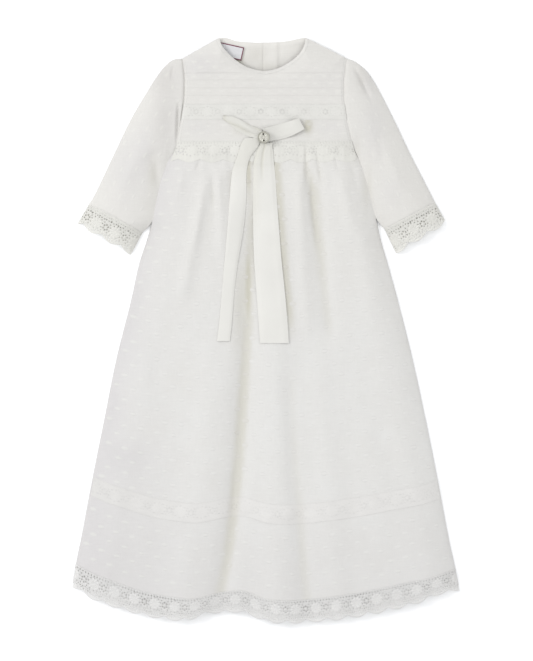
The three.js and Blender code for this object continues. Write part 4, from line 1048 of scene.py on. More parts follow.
def hem_lace(layer):
    repeats = 19
    length = repeats * TILE

    def place(s, t, lift):
        u = s / length
        hx, hy = hem_x(u), hem_y(u)
        drop = smooth_at(HEM[:, 0], HEM[:, 2], hx)
        w = t / TALL
        x = hx + mix(-0.145, 0.2, u) * drop * w
        y = hy + (1.4 if layer == "front" else 1.0) * (1 - w) - drop * w + (0 if layer == "front" else 4.6 * w)
        if layer == "front":
            edge = np.minimum(hx - HEM[0, 0], HEM[-1, 0] - hx)
            z = rolled(top_of(hx, hy), edge, 1.3, 4.0) + 0.25 - 3.0 * w * w * smoothstep(edge, 0, 40) + lift
        else:
            z = 0.35 + lift
        return np.stack([x, y, z], -1)
    phase = 7.0 if layer == "front" else 18.0
    v, f, shade = lace_sheet(length, TALL, "hem", phase, 0.52 if layer == "front" else 0.76, place, 0.92 if layer == "front" else 0.7, 0.9, 0.3)
    f = face_up(v, f)
    return add_piece(f"hem_lace_{layer}_work", v, f, M_LACE, "cotton_lace", sharp=180, shade=shade, node=f"hem_lace_{layer}")


def straight_lace(name, length, tall, kind, phase, cell, plan, gap, node, fine, material, rim, tones=None):
    def place(s, t, lift):
        x, y = plan(s / length, t / tall)
        off = 0.1 + gap * smoothstep(np.minimum(t, tall - t), 0.5, 4.0)      # stands off between its two edges
        return np.stack([x, y, top_of(x, y) + off + 0.3 * lift], -1)
    v, f, shade = lace_sheet(length, tall, kind, phase, cell, place, fine, 0.12, rim)
    f = face_up(v, f)
    painted_shadow = 0 * shade
    # the painted shade and painted shadow of the cloth below carry onto the lace
    if tones:
        grey, _, painted_shadow = tones(v[:, 0], v[:, 1])
        shade = np.minimum(shade + 0.3 * grey, 1)
    return add_piece(name, v, f, material, "cotton_lace", sharp=180, shade=shade, node=node, painted_shadow=painted_shadow)


def yoke_lace():
    def plan(u, w):
        y = mix(294.5, 273.7, w)
        return mix(arm_left(y) + 0.6, arm_right(y) - 0.6, u), y
    return straight_lace("yoke_lace_work", 212.0, 20.8, "band", 3.0, 0.6, plan, 0.12, "yoke_lace", 0.85, M_LACE_YOKE, 0.8)


def waist_lace():
    def plan(u, w):
        y0, v1 = 246.3, 0.029
        xs, ys, _, _ = skirt_plan(u, np.full(np.shape(u), v1))
        x_top = mix(arm_left(y0) + 0.6, arm_right(y0) - 0.6, u)
        return mix(x_top, mix(xs, x_top, 0.25), w), mix(y0, ys, w)
    return straight_lace("waist_lace_work", 232.0, TALL, "waist", 12.0, 0.58, plan, 0.18, "waist_lace", 1.08, M_LACE_ON, 1.0)


def insertion_lace():
    def plan(u, w):
        v = mix(0.785, 0.83, w)
        uu = 0.004 + 0.992 * u
        x, y, _, _ = skirt_plan(uu, v)
        return x, y
    return straight_lace("insertion_lace_work", 448.0, 26.0, "band", 5.0, 0.66, plan, 0.05, "insertion_lace", 0.85, M_LACE_IN, 0.25, skirt_tone)


def cuff_lace(side):
    plan, a0, a1 = sleeve_plan(side)
    end0, end1 = (np.array(p) for p in CUFF_END[side])
    length, phase = {"left": (160.0, 18.2), "right": (154.0, 27.7)}[side]

    def place(s, t, lift):
        part = np.mod(s / length + 0.5, 1.0) * 2           # its join lies at the inner edge
        u = np.where(part < 1, part, 2 - part)[:, None]
        behind = np.where(part < 1, 0.0, smoothstep(np.minimum(u[:, 0], 1 - u[:, 0]), 0.0, 0.12))
        w = (t / TALL * 1.1 * (1 - 0.26 * behind))[:, None]
        p = mix(mix(a0, a1, u), mix(end0, end1, u), w)
        back = mix(a0, a1, u) - p
        p = p + back * (1.3 / 29.0) * (1 - w)          # sewn over the sleeve's edge
        width = 77.0
        d = np.minimum(u[:, 0], 1 - u[:, 0]) * width
        top = rolled(top_of(p[:, 0], p[:, 1]), d, 1.6, 3.5) + 0.3 - 1.0 * w[:, 0] ** 2 * smoothstep(d, 0, 20) + lift
        low = 0.3 + np.where(d < 0.2, 1.2, 0.0) + 0.4 * lift
        return np.stack([p[:, 0], p[:, 1], np.where(part < 1, top, low)], -1)
    v, f, shade = lace_sheet(length, TALL, "cuff", phase, 0.52, place, 0.94, 0.45, 0.6)
    return add_piece(f"cuff_lace_{side}_work", v, f, M_CUFF, "cotton_lace", sharp=180, shade=shade, node=f"cuff_lace_{side}")


# ---- woven dots ----------------------------------------------------------------------
def dots(name, x, y, z, turn, tones, faint=1.0, long=3.7, short=2.25, high=0.26):
    """Small oval tufts, joined; painted shade darkens their long sides."""
    n, ring = len(x), 10
    a = np.linspace(0, 2 * np.pi, ring, endpoint=False)
    size = rng.uniform(0.84, 1.12, (n, 1))
    seen = rng.uniform(0.3, 1.0, (n, 1))
    levels = [(1.25, -0.04, 0.9), (1.0, 0.25, 1.0), (0.66, 0.85, 0.1)]
    verts, shade = [], []
    cos, sin = np.cos(turn)[:, None], np.sin(turn)[:, None]
    for scale, up, dark in levels:
        px, py = scale * size * long * np.cos(a), scale * size * short * np.sin(a)
        X, Y = x[:, None] + px * cos - py * sin, y[:, None] + px * sin + py * cos
        verts.append(np.stack([X, Y, np.asarray(z(X, Y)) + up * high], -1))
        shade.append(seen * faint * dark * np.abs(np.sin(a)) ** 1.5)
    centre = np.stack([x, y, np.asarray(z(x, y)) + high], -1)[:, None]
    v = np.concatenate([*verts, centre], 1)
    per = 3 * ring + 1
    base = (np.arange(n) * per)[:, None, None]
    k = np.arange(ring)
    l = (k + 1) % ring
    tri = []
    for r in (0, 1):
        o = r * ring
        tri += [np.stack([o + k, o + l, o + ring + l], -1), np.stack([o + k, o + ring + l, o + ring + k], -1)]
    tri.append(np.stack([2 * ring + k, 2 * ring + l, np.full(ring, 3 * ring)], -1))
    tri = np.concatenate(tri)[None] + base
    shades = np.concatenate([*shade, np.zeros((n, 1))], 1).ravel()
    # the tufts take the painted shade and painted shadow of the cloth they sit on
    grey, warm, painted_shadow = (np.repeat(t, per) for t in tones)
    return add_piece(name, v.reshape(-1, 3), tri.reshape(-1, 3), M_DOT, "dotted_swiss", sharp=180,
                     shade=np.minimum(shades + 0.55 * grey, 1), warm=warm, painted_shadow=painted_shadow)


ROW, ALONG = 15.6, 20.8          # rows of dots and their step


def skirt_dot_places(margin):
    xs, ys, turns = [], [], []
    length = 575.0
    j = 0
    while True:
        v = (10 + j * ROW) / length
        if v > 0.985:
            break
        pull = mix(0.78, 1.0, float(smoothstep(v, 0.0, 0.2)))
        _, _, xl, xr = skirt_plan(0.5, v)
        i = np.arange(-16, 17) + 0.5 * (j % 2)
        x = i * ALONG * pull - 6.0
        u = (x - xl) / (xr - xl)
        u = u[(x - xl > margin) & (xr - x > margin)]
        x, y, _, _ = skirt_plan(u, np.full(len(u), v))
        x2, y2, _, _ = skirt_plan(u + 0.004, np.full(len(u), v))
        xs.append(x + rng.normal(0, 0.7, len(x)))
        ys.append(y + rng.normal(0, 0.6, len(x)))
        turns.append(np.arctan2(y2 - y, x2 - x) + rng.normal(0, 0.07, len(x)))
        j += 1
    return np.concatenate(xs), np.concatenate(ys), np.concatenate(turns)


def skirt_dots():
    x, y, turn = skirt_dot_places(5.0)
    span = WAIST_Y - hem_y((x - HEM[0, 0]) / (HEM[-1, 0] - HEM[0, 0]))
    v = (WAIST_Y - y) / span
    keep = ((v < 0.775) | (v > 0.84)) & (y < 214)
    front = dots("skirt_front_dots", x[keep], y[keep], lambda a, b: top_of(a, b), 0.5 * turn[keep], skirt_tone(x[keep], y[keep]))
    x, y, turn = skirt_dot_places(7.0)
    xl, xr = side_x(1, y), side_x(2, y)
    back = dots("skirt_back_dots", x, y, lambda a, b: 0.12 + 0 * a, turn, (0 * x, 0 * x + 0.3, 0 * x), high=-0.05)
    return front, back


def inside_sleeve(x, y, side, margin):
    """Points that lie on the sleeve, away from its edges."""
    k = SIDE_COLUMN[side]
    ring = [*SLEEVE_OUT[:, k:k + 2], *SLEEVE_IN[::-1, k:k + 2], *ARMHOLE[::-1][:, [ARM_COLUMN[side], 0]]]
    poly = np.array(ring)
    inside = np.zeros(len(x), bool)
    for (ax, ay), (bx, by) in zip(poly, np.roll(poly, -1, 0)):
        cross = (ay > y) != (by > y)
        with np.errstate(divide="ignore", invalid="ignore"):
            inside ^= cross & (x < (bx - ax) * (y - ay) / (by - ay) + ax)
    d, _ = to_line(np.concatenate([poly, poly[:1]]), x, y)
    return inside & (d > margin)


def sleeve_dots(side):
    sign = -1 if side == "left" else 1
    axis = np.array([sign * 0.52, -0.854])
    cross = np.array([-axis[1], axis[0]])
    i, j = np.meshgrid(np.arange(-30, 30), np.arange(-30, 30))
    along = (i + 0.5 * (j % 2)).ravel() * ALONG
    over = j.ravel() * ROW
    x = sign * 165.0 + along * axis[0] + over * cross[0] + rng.normal(0, 0.6, along.size)
    y = 245.0 + along * axis[1] + over * cross[1] + rng.normal(0, 0.6, along.size)
    keep = inside_sleeve(x, y, side, 5.0)
    turn = np.full(keep.sum(), math.atan2(axis[1], axis[0])) + rng.normal(0, 0.07, keep.sum())
    x, y = x[keep], y[keep]
    grey, painted_shadow = painted_shade_at(f"sleeve_{side}", x, y)
    return dots(f"sleeve_{side}_dots", x, y, lambda a, b: top_of(a, b), turn, (grey, 0 * x + 0.75, painted_shadow), faint=0.8, long=3.2, short=2.0, high=0.2)


def yoke_dots():
    xs, ys = [], []
    for j, y in enumerate((372.0, 361.0, 350.0, 341.5, 330.0, 320.5, 310.8, 299.5, 267.0, 255.5)):
        x = (np.arange(-7, 8) + 0.5 * (j % 2)) * ALONG * 0.9
        ok = (x > arm_left(y) + 6) & (x < arm_right(y) - 6)
        if y > 340:
            neck = np.interp(x, NECK_FRONT[:, 0], NECK_FRONT[:, 1], left=0, right=0)
            shoulder = np.where(x < 0, np.interp(x, [TIP_L[0], NECK_L[0]], [TIP_L[1], NECK_L[1]]), np.interp(x, [NECK_R[0], TIP_R[0]], [NECK_R[1], TIP_R[1]]))
            ok &= (y < shoulder - 5) & ~((neck > 0) & (y > neck - 5))
        xs.append(x[ok] + rng.normal(0, 0.7, ok.sum()))
        ys.append(np.full(ok.sum(), y) + rng.normal(0, 0.5, ok.sum()))
    x, y = np.concatenate(xs), np.concatenate(ys)
    return dots("yoke_dots", x, y, lambda a, b: top_of(a, b) + tuck_lift(b), rng.normal(0, 0.07, len(x)),
                (painted_shade_at("yoke", x, y)[0], 0 * x + 0.75, 0.7 * painted_shade_at("yoke", x, y)[1]), faint=0.4, long=3.2, short=2.0, high=0.14)


# ---- ribbon bow ----------------------------------------------------------------------
bow_box = [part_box(n) for n in ("bow_loop_left", "bow_loop_right", "bow_knot", "button", "ribbon_tail_left", "ribbon_tail_right")]
BOW_Z = bow_box[2][0][2] / MM
BUTTON_Z = bow_box[3][0][2] / MM


def bow_loop_right():
    """The ribbon goes out low, turns round and comes back high and wide."""
    a = np.linspace(0.06, 2 * np.pi - 0.06, 72)
    w = np.linspace(0, 1, 22)
    A, W = np.meshgrid(a, w)
    along = 0.5 - 0.5 * np.cos(A)
    side = np.sin(A)
    full = np.sin(np.pi * np.clip(along * 0.8 + 0.2, 0, 1)) ** 0.45
    up = 0.5 - 0.5 * np.sign(side) * np.abs(side) ** 0.8 * np.maximum(full, 0.12)
    front = A > np.pi
    knot_top = np.where(front[..., None], np.array([-4.5, 262.0]), np.array([-1.0, 262.4]))
    knot_low = np.where(front[..., None], np.array([1.0, 245.8]), np.array([7.0, 247.6]))
    end_top, end_low = np.array([42.6, 275.3]), np.array([50.0, 261.5])
    L = along[..., None]
    top = mix(knot_top, end_top, L)
    low = mix(knot_low, end_low, L)
    sag = np.array([0.35, -1.0]) * 3.2 * np.sin(np.pi * L)       # lower edge bows out
    p = mix(top, low + sag, W[..., None])
    rest = top_of(p[..., 0], p[..., 1]) + 0.5
    high = 1.5 + 6.2 * smoothstep(along, 0.4, 1.0)
    low_top = 0.72 * (1 - smoothstep(W, 0, 0.45)) * (1 - smoothstep(along, 0.55, 0.95))      # its upper edge lies on the yoke
    z = mix(BOW_Z + 0.3, rest, smoothstep(along, 0.05, 0.4)) + up * high * np.where(front, 1 - low_top, 1)
    z = z + np.where(front, 0.7 * np.cos(2.4 * np.pi * W) * np.exp(-along / 0.2), 0)
    z = z + np.where(front, 1.0 * np.exp(-along / 0.12), 0)
    z = z - np.where(front, 0.9 * smoothstep(W, 0.8, 1.0) * (1 - smoothstep(along, 0.5, 0.9)), 0)
    grid = np.concatenate([p, z[..., None]], -1)
    # the whole loop takes an even small share of the warm shadow colour, a little darker and warmer
    tint = np.full((2, *grid.shape[:2]), 0.13)
    return add_piece("bow_loop_right_ribbon", *thin_shell(grid, SILK), M_RIBBON_BOW, "ribbon", node="bow_loop_right", painted_shadow=tint)


# left loop's front as a leaf: part of its length, upper edge x, y, lower edge x, y
LEAF = np.array([
    (0.0, -5.0, 260.4, -6.0, 247.8), (0.25, -23.4, 268.0, -21.5, 257.5), (0.5, -33.8, 274.0, -37.0, 265.6),
    (0.75, -43.6, 278.4, -47.6, 269.0), (1.0, -55.4, 278.2, -55.6, 274.2)])


def bow_loop_left():
    """Lies flat below and comes back as a narrow roll, open along its upper edge."""
    w = np.linspace(0, 1, 24)

    def flat(s):                                 # lower layer, going out on the yoke
        top = mix(np.array([-7.0, 261.0]), np.array([-53.8, 279.6]), s)
        low = mix(np.array([-7.0, 248.4]), np.array([-51.5, 271.0]), s) + np.array([-1.4, -4.2]) * math.sin(math.pi * s)
        p = mix(top, low, w[:, None])
        lift = 0.8 * np.exp(-(w / 0.13) ** 2) * float(smoothstep(s, 0.1, 0.5))
        rest = top_of(p[:, 0], p[:, 1]) + 0.35
        z = mix(np.full_like(w, BOW_Z + 0.5), rest, float(smoothstep(s, 0.05, 0.4))) + lift
        return np.concatenate([p, z[:, None]], -1)

    def roll(s):                                 # roll, coming back
        top = np.array([np.interp(s, LEAF[:, 0], LEAF[:, k]) for k in (1, 2)])
        low = np.array([np.interp(s, LEAF[:, 0], LEAF[:, k]) for k in (3, 4)])
        hump = np.sin(np.pi * np.clip(w * 0.92 + 0.04, 0, 1))
        p = mix(top, low, w[:, None])
        on = top_of(p[:, 0], p[:, 1])
        root = mix(on + 0.7, np.maximum(on + 1.2, BOW_Z + 1.2), hump)
        z = mix(root, on + 0.75 + 0.9 * (1 - w) ** 2, float(smoothstep(s, 0.15, 0.5))) + 1.5 * hump * (1 - 0.5 * s) * float(smoothstep(s, 0.0, 0.4))
        return np.concatenate([p, z[:, None]], -1)

    rows = [flat(k) for k in np.linspace(0, 1, 40)]
    for k in np.linspace(0, 1, 10)[1:-1]:        # the turn at the tip
        turn = mix(flat(1.0), roll(1.0), float(smoothstep(k, 0, 1)))
        turn[:, 0] -= 1.2 * math.sin(math.pi * k) * (1 - 0.8 * w)
        rows.append(turn)
    rows += [roll(1 - k) for k in np.linspace(0, 1, 40)]
    # painted shade: the lower layer darker under the leaf; the turn, the leaf's lower edge and its tip darker
    tint = np.zeros((len(rows), len(w)))
    tint[:40] = 0.25 + 0.5 * (1 - smoothstep(w, 0.4, 0.95))
    tint[40:48] = 0.5
    out = np.linspace(1, 0, 40)[:, None]
    tint[48:] = 0.26 + 0.4 * smoothstep(w, 0.55, 1.0) * smoothstep(out, 0.2, 0.45) + 0.4 * smoothstep(out, 0.85, 1.0)
    tint = np.stack([tint.T, tint.T])
    grid = np.array(rows).transpose(1, 0, 2)
    return add_piece("bow_loop_left_ribbon", *thin_shell(grid, SILK), M_RIBBON_BOW, "ribbon", node="bow_loop_left", painted_shadow=tint)


def bow_knot():
    """Short ribbon wound round the middle, drawn in at its waist."""
    cx, cy = -3.2, 251.5
    a = np.linspace(0, 2 * np.pi, 64, endpoint=False)
    rows = []
    for k, v in enumerate(np.linspace(0, 1, 16)):
        bulge = 1 - 0.12 * math.cos(2 * math.pi * v)
        z = BOW_Z + 0.2 + 6.4 * v
        rx, ry = 6.3 * bulge, 6.9 * bulge
        if v < 0.12 or v > 0.88:
            rx, ry = rx - 1.0, ry - 1.0
        pleat = 1 + 0.045 * np.cos(9 * a + 0.6) + 0.03 * np.cos(14 * a)
        sq = (np.abs(np.cos(a)) ** 4 + np.abs(np.sin(a)) ** 4) ** -0.25
        rows.append(np.stack([cx + rx * pleat * sq * 0.93 * np.cos(a), cy + ry * pleat * sq * 0.93 * np.sin(a), np.full_like(a, z)], -1))
    grid = np.array(rows)
    verts = [grid.reshape(-1, 3), np.array([[cx, cy, BOW_Z + 0.1], [cx, cy, BOW_Z + 6.75]])]
    faces = grid_faces(*grid.shape[:2], wrap=True)[:, ::-1]
    n = len(a)
    k = np.arange(n)
    l = (k + 1) % n
    base = grid.shape[0] * n
    cap_low = np.stack([l, k, np.full(n, base), np.full(n, base)], -1)
    last = (grid.shape[0] - 1) * n
    cap_top = np.stack([last + k, last + l, np.full(n, base + 1), np.full(n, base + 1)], -1)
    tri = [list(f) for f in faces] + [list(f[:3]) for f in cap_low] + [list(f[:3]) for f in cap_top]
    me = bpy.data.meshes.new("bow_knot_ribbon")
    me.from_pydata((np.concatenate(verts) * MM).tolist(), [], tri)
    me.update()
    me.polygons.foreach_set("use_smooth", np.ones(len(me.polygons), bool))
    me.materials.append(M_RIBBON_BOW)
    ob = bpy.data.objects.new("bow_knot_ribbon", me)
    bpy.context.scene.collection.objects.link(ob)
    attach(ob, "root")
    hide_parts("bow_knot")
    return ob


def tail_rows(table, count):
    y = np.linspace(table[0, 0], table[-1, 0], count)
    return y, smooth_at(table[:, 0], table[:, 1], y), smooth_at(table[:, 0], table[:, 2], y)


def ribbon_tail_right():
    y, left, right = tail_rows(TAIL_RIGHT, 150)
    w = np.linspace(0, 1, 30)
    down = (TAIL_RIGHT[0, 0] - y)[:, None]
    wide = np.exp(-down / 9.0)                       # spreads as soon as it leaves the knot
    x = mix(left[:, None] - 4.5 * wide, right[:, None] + 6.0 * wide, w[None])
    yy = np.repeat(y[:, None], len(w), 1)
    lay = blurred(np.pad(laid_on(x, yy), ((0, 0), (12, 12)), mode="edge"), 1, 4.0)[:, 12:-12]
    z = np.maximum(lay, laid_on(x, yy) - 0.4) + 0.55
    z += 0.5 * np.sin(down / 41.0 + 0.6) ** 2 * smoothstep(down, 20, 90) + 0.3 * np.sin(down / 17.0 + 2.0 * w) ** 2 * smoothstep(down, 30, 80)
    z += (0.1 + 0.7 * smoothstep(down, 45, 110)) * smoothstep(w, 0.66, 1.0)[None] * smoothstep(down, 4, 30)          # right edge stands off
    pleat = np.exp(-((w - 0.42) / 0.07) ** 2)[None] * (1 - smoothstep(down, 26, 60))
    z += 0.6 * (1 - smoothstep(down, 26, 60)) - 0.9 * pleat
    z += 0.8 * (1 - smoothstep(down, 0, 16))
    close = smoothstep(np.abs(w - 0.5), 0.3, 0.5)[None] * (0.45 + 0.55 * (1 - smoothstep(down, 60, 110))) * smoothstep(down, 1, 10)
    z = mix(z, top_of(x, yy) + 0.25 + 0.9 * smoothstep(yy, 212, 218), close)          # edges lie on the cloth
    grid = np.stack([x, yy, z], -1)
    # painted shade: darker in the pleat, along the left side and near the knot
    tint = 0.5 * pleat + 0.32 * np.exp(-(w / 0.28) ** 2)[None] * (1 - smoothstep(down, 70, 130)) + 0.28 * (1 - smoothstep(down, 12, 40))
    return add_piece("ribbon_tail_right_ribbon", *thin_shell(grid, SILK), M_RIBBON, "ribbon", node="ribbon_tail_right",
                     painted_shadow=np.stack([tint, tint]))


def ribbon_tail_left():
    y, left, right = tail_rows(TAIL_LEFT, 150)
    down = TAIL_LEFT[0, 0] - y
    wave = 0.4 * np.sin(down / 37.0 + 1.0) ** 2 * smoothstep(down, 20, 90)
    width = right - left
    h = 0.55
    rests = lambda x, k: mix(laid_on(x, y), top_of(x, y) + 0.9 * smoothstep(y, 212, 218), k) + 0.12     # k: how close it lies
    cols = []
    for t in np.linspace(1, 0.1, 14):             # lower layer, from its edge to the fold
        x = left + t * width * 0.8
        cols.append((x, rests(x, 0.5)))
    for a in np.linspace(-np.pi / 2, np.pi / 2, 9)[1:-1]:   # the fold
        x = left + 0.8 - 0.8 * np.cos(a)
        cols.append((x, rests(left + 0.1 * width, 0.9) + h / 2 + h / 2 * np.sin(a)))
    for t in np.linspace(0.1, 1, 16):             # upper layer
        x = left + t * width
        cols.append((x, rests(x, 0.5 + 0.4 * float(smoothstep(abs(t - 0.5), 0.3, 0.5))) + h * (1 - 0.5 * float(smoothstep(t, 0.82, 1.0))) + 0.3 * np.sin(np.pi * t) + 0.15 * np.sin(down / 23.0) * t * (1 - t)))
    grid = np.stack([np.stack([x, y, z + wave], -1) for x, z in cols], 1)
    # painted shade near the knot
    tint = np.broadcast_to(0.3 * (1 - smoothstep(down, 25, 60))[:, None], (2, *grid.shape[:2]))
    return add_piece("ribbon_tail_left_ribbon", *thin_shell(grid[:, ::-1], SILK), M_RIBBON, "ribbon", node="ribbon_tail_left", painted_shadow=tint)


def button():
    B = BUTTON
    r = np.concatenate([np.linspace(0, 6.6, 56), np.linspace(6.7, 8.0, 18)])
    a = np.linspace(0, 2 * np.pi, 120, endpoint=False)
    R, A = np.meshgrid(r, a, indexing="ij")
    rim = 0.75 * np.exp(-((R - 7.45) / 0.5) ** 2)
    groove = -0.45 * np.exp(-((R - 6.35) / 0.42) ** 2)
    leaf = 0.28 * (0.5 + 0.5 * np.cos(10 * A + 0.5 * np.sin(R))) * smoothstep(R, 2.4, 3.4) * (1 - smoothstep(R, 5.2, 6.0))
    inner = -0.4 * np.exp(-((R - 2.2) / 0.3) ** 2)
    z = B["thick"] + rim + groove + leaf - 0.2 + inner
    x, y = R * np.cos(A), R * np.sin(A)
    # painted shade share: the holes near black; the grooves, the middle, the leaf valleys and the rim darker
    deep = np.clip(-groove * 0.4 - inner * 0.36 + 0.42 * smoothstep(R, 7.0, 7.7) + 0.14 * (1 - smoothstep(R, 1.6, 2.6)) + 0.16 * (0.5 - 0.5 * np.cos(10 * A)) * smoothstep(R, 2.6, 3.4) * (1 - smoothstep(R, 5.4, 6.0)), 0, 0.85)
    for s in (-1, 1):
        d = np.hypot(x - 0.35 * -s, y - s * B["hole_at"])
        pit = 1 - smoothstep(d, B["hole"] * 0.95, B["hole"] * 1.3)
        z = z - 2.0 * pit
        deep = np.maximum(deep, pit)
        z = z + 0.2 * np.exp(-((d - 1.55) / 0.35) ** 2)
    z = np.where(R > 7.75, z * 0.6 + 0.5, z)
    top = np.stack([B["x"] + x, B["y"] + y, BUTTON_Z + z], -1)
    foot = top.copy()
    foot[..., 2] = BUTTON_Z + 0.05
    foot[-1, :, 0] = B["x"] + 7.6 * np.cos(a)
    foot[-1, :, 1] = B["y"] + 7.6 * np.sin(a)
    grid = np.concatenate([top, foot[::-1]], 0)
    faces = grid_faces(*grid.shape[:2], wrap=True)
    shade = np.concatenate([deep, np.zeros_like(deep)], 0).ravel()
    verts = grid.reshape(-1, 3)
    ob = add_piece("button_face", verts, faces, M_PEWTER, "pewter", sharp=60, shade=shade, node="button")
    return ob


def label():
    """Blank woven label with a border line."""
    L = LABEL
    c, s = math.cos(L["tilt"]), math.sin(L["tilt"])

    def plate(x0, x1, y0, y1, nx, ny, z, thick, bow):
        u, v = np.meshgrid(np.linspace(x0, x1, nx), np.linspace(y1, y0, ny))
        zz = z + bow * (1 - (2 * u / L["w"]) ** 2) + 0.2 * noise2(u, v, 7, 71)
        top = np.stack([L["x"] + c * u - s * v, L["y"] + s * u + c * v, zz], -1)
        low = top.copy()
        low[..., 2] -= thick
        return closed_shell(top, low)
    w, h, b = L["w"] / 2, L["h"] / 2, 1.3
    body = add_piece("label_cloth", *plate(-w, w, -h, h, 30, 20, 2.6, 0.5, 0.5), M_LABEL, "woven_label", node="label")
    bars = [plate(-w, w, h - b, h, 30, 3, 2.75, 0.3, 0.5), plate(-w, w, -h, -h + b, 30, 3, 2.75, 0.3, 0.5),
            plate(-w, -w + b, -h, h, 3, 20, 2.75, 0.3, 0.5), plate(w - b, w, -h, h, 3, 20, 2.75, 0.3, 0.5)]
    border = add_piece("label_border", *joined(bars), M_BORDER, "woven_label")
    return body, border


# ---- stitches ------------------------------------------------------------------------
def stitches(name, paths, step=3.0, length=2.0, wide=0.2, high=0.1):
    """Short threads along lines of (x, y, z), joined."""
    cx, direction = [], []
    for p in paths:
        run = np.concatenate([[0], np.cumsum(np.linalg.norm(np.diff(p[:, :2], axis=0), axis=1))])
        s = np.arange(step / 2, run[-1], step)
        c = np.stack([np.interp(s, run, p[:, k]) for k in range(3)], -1)
        d = np.stack([np.interp(s + 0.5, run, p[:, k]) - np.interp(s - 0.5, run, p[:, k]) for k in range(3)], -1)
        cx.append(c)
        direction.append(d / np.maximum(np.linalg.norm(d, axis=1, keepdims=True), 1e-9))
    c, d = np.concatenate(cx), np.concatenate(direction)
    side = np.stack([-d[:, 1], d[:, 0], 0 * d[:, 0]], -1)
    up = np.array([0, 0, 1.0])
    section = [(-1.0, -0.2), (-0.6, 0.8), (0.6, 0.8), (1.0, -0.2)]
    rows = []
    for along, size in ((-0.5, 0.35), (-0.25, 1.0), (0.25, 1.0), (0.5, 0.35)):
        for a, b in section:
            rows.append(c + d * along * length + side * a * wide * size + up * b * high * size)
    v = np.stack(rows, 1)
    quads = []
    for r in range(3):
        for k in range(4):
            l = (k + 1) % 4
            quads.append([r * 4 + k, (r + 1) * 4 + k, (r + 1) * 4 + l, r * 4 + l])
    quads += [[0, 1, 2, 3], [15, 14, 13, 12]]
    faces = np.array(quads)[None] + (np.arange(len(c)) * 16)[:, None, None]
    return add_piece(name, v.reshape(-1, 3), faces.reshape(-1, 4), M_THREAD, "dotted_swiss", sharp=180)


def on_front(x, y, lift=0.15):
    return np.stack([x, y, top_of(x, y) + lift], -1)


def all_stitches():
    s = np.linspace(0.01, 0.99, 160)
    p = neck_front(s)
    q = neck_front(np.clip(s + 0.005, 0, 1)) - neck_front(np.clip(s - 0.005, 0, 1))
    q /= np.linalg.norm(q, axis=1, keepdims=True)
    inset = p + 4.2 * np.stack([q[:, 1], -q[:, 0]], -1)
    paths = [on_front(inset[:, 0], inset[:, 1], 0.2 )]
    paths[0][:, 2] += tuck_lift(inset[:, 1])
    for y in (293.6, 274.6, 245.3):
        x = np.linspace(arm_left(y) + 2, arm_right(y) - 2, 120)
        paths.append(on_front(x, np.full_like(x, y), 0.3))
    u = np.linspace(0.01, 0.99, 200)
    for v in (0.7865, 0.8285):
        x, y, _, _ = skirt_plan(u, np.full_like(u, v))
        paths.append(on_front(x, y, 0.3))
    x, y, _, _ = skirt_plan(u, np.full_like(u, 0.9985))
    paths.append(on_front(x, y, 0.9))
    for column, sign in ((1, -1), (2, 1)):
        y = np.linspace(350, 240, 80)
        x = np.interp(y, ARMHOLE[::-1, 0], ARMHOLE[::-1, column]) - sign * 3.6
        paths.append(on_front(x, y, 0.1 + 0 * y))
    for side in ("left", "right"):
        plan, _, _ = sleeve_plan(side)
        p = plan(np.linspace(0.05, 0.95, 60), np.full(60, 0.992))
        paths.append(on_front(p[:, 0], p[:, 1], 0.5))
    return stitches("seam_stitches", paths)


# ---- make the pieces -----------------------------------------------------------------
made = {
    "yoke_front": yoke_front(), "yoke_back_left": yoke_back("left"), "yoke_back_right": yoke_back("right"),
    "skirt_front": skirt_front(), "skirt_back": skirt_back(),
    "sleeve_left": sleeve("left"), "sleeve_right": sleeve("right"),
    "hem_lace_front": hem_lace("front"), "hem_lace_back": hem_lace("back"),
    "yoke_lace": yoke_lace(), "waist_lace": waist_lace(), "insertion_lace": insertion_lace(),
    "cuff_left": cuff_lace("left"), "cuff_right": cuff_lace("right"),
    "bow_right": bow_loop_right(), "bow_left": bow_loop_left(), "bow_knot": bow_knot(),
    "tail_right": ribbon_tail_right(), "tail_left": ribbon_tail_left(), "button": button()}
label_cloth, label_line = label()
front_dots, back_dots = skirt_dots()
sleeve_dot_pieces = {side: sleeve_dots(side) for side in ("left", "right")}
yoke_dot_piece = yoke_dots()
thread = all_stitches()

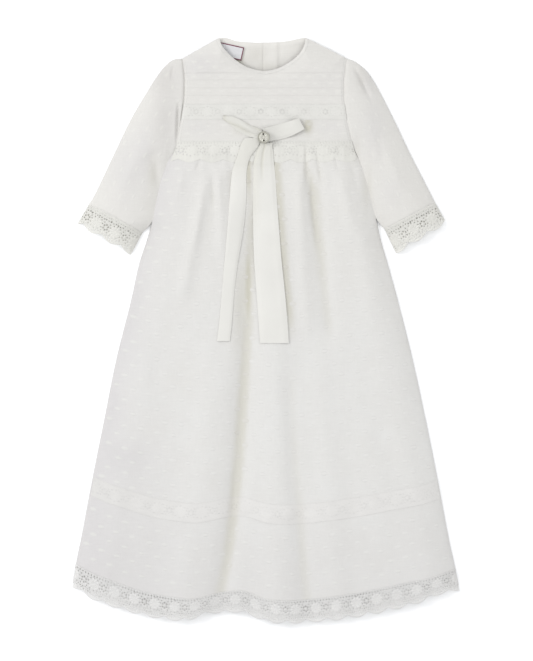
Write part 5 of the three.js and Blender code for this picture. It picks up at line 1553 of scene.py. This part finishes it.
# ---- stage, light, camera ------------------------------------------------------------
floor_mesh = bpy.data.meshes.new("floor")
floor_mesh.from_pydata([(-40, -40, -0.0004), (40, -40, -0.0004), (40, 40, -0.0004), (-40, 40, -0.0004)], [], [(0, 1, 2, 3)])
floor = bpy.data.objects.new("floor", floor_mesh)
bpy.context.scene.collection.objects.link(floor)
paper = Nodes("paper", rough=0.95)
paper.bsdf.inputs["Specular IOR Level"].default_value = 0.0
floor_mesh.materials.append(paper.colour(paper.ramp(paper.noise(3.0, 2.0), [(0.3, (0.9, 0.9, 0.9)), (0.7, (0.91, 0.91, 0.91))])))


def soft_light(name, place, target, size, power):
    data = bpy.data.lights.new(name, "AREA")
    data.shape, data.size, data.energy = "DISK", size, power
    data.color = (0.99, 1.0, 1.015)
    ob = bpy.data.objects.new(name, data)
    ob.location = place
    from mathutils import Vector
    ob.rotation_euler = (Vector(target) - Vector(place)).to_track_quat("-Z", "Y").to_euler()
    ob.visible_camera = False
    bpy.context.scene.collection.objects.link(ob)
    return ob


soft_light("key", (-3.0, 1.1, 2.7), (0, 0, 0), 1.7, 64)
soft_light("top", (0.4, 0.2, 4.2), (0, 0, 0), 4.0, 45)

world = bpy.data.worlds.new("room")
world.use_nodes = True
world.node_tree.nodes["Background"].inputs["Color"].default_value = (0.99, 1.0, 1.015, 1)
world.node_tree.nodes["Background"].inputs["Strength"].default_value = 0.92
bpy.context.scene.world = world

view = bpy.context.scene.view_settings
view.view_transform = "Standard"
view.look = "None"
view.exposure, view.gamma = 0.0, 1.0

camera_data = bpy.data.cameras.new("camera")
camera = bpy.data.objects.new("camera", camera_data)
bpy.context.scene.collection.objects.link(camera)
FAR = 6.0
camera_data.sensor_fit = "VERTICAL"
camera_data.sensor_height = 24.0
camera_data.lens = 24.0 * (FAR - 0.010) / (SHEET_H * UNIT * MM)
camera_data.clip_end = 100
camera.location = (0.5 * UNIT * MM, 0, FAR)
camera.rotation_euler = (0, 0, 0)
bpy.context.scene.camera = camera
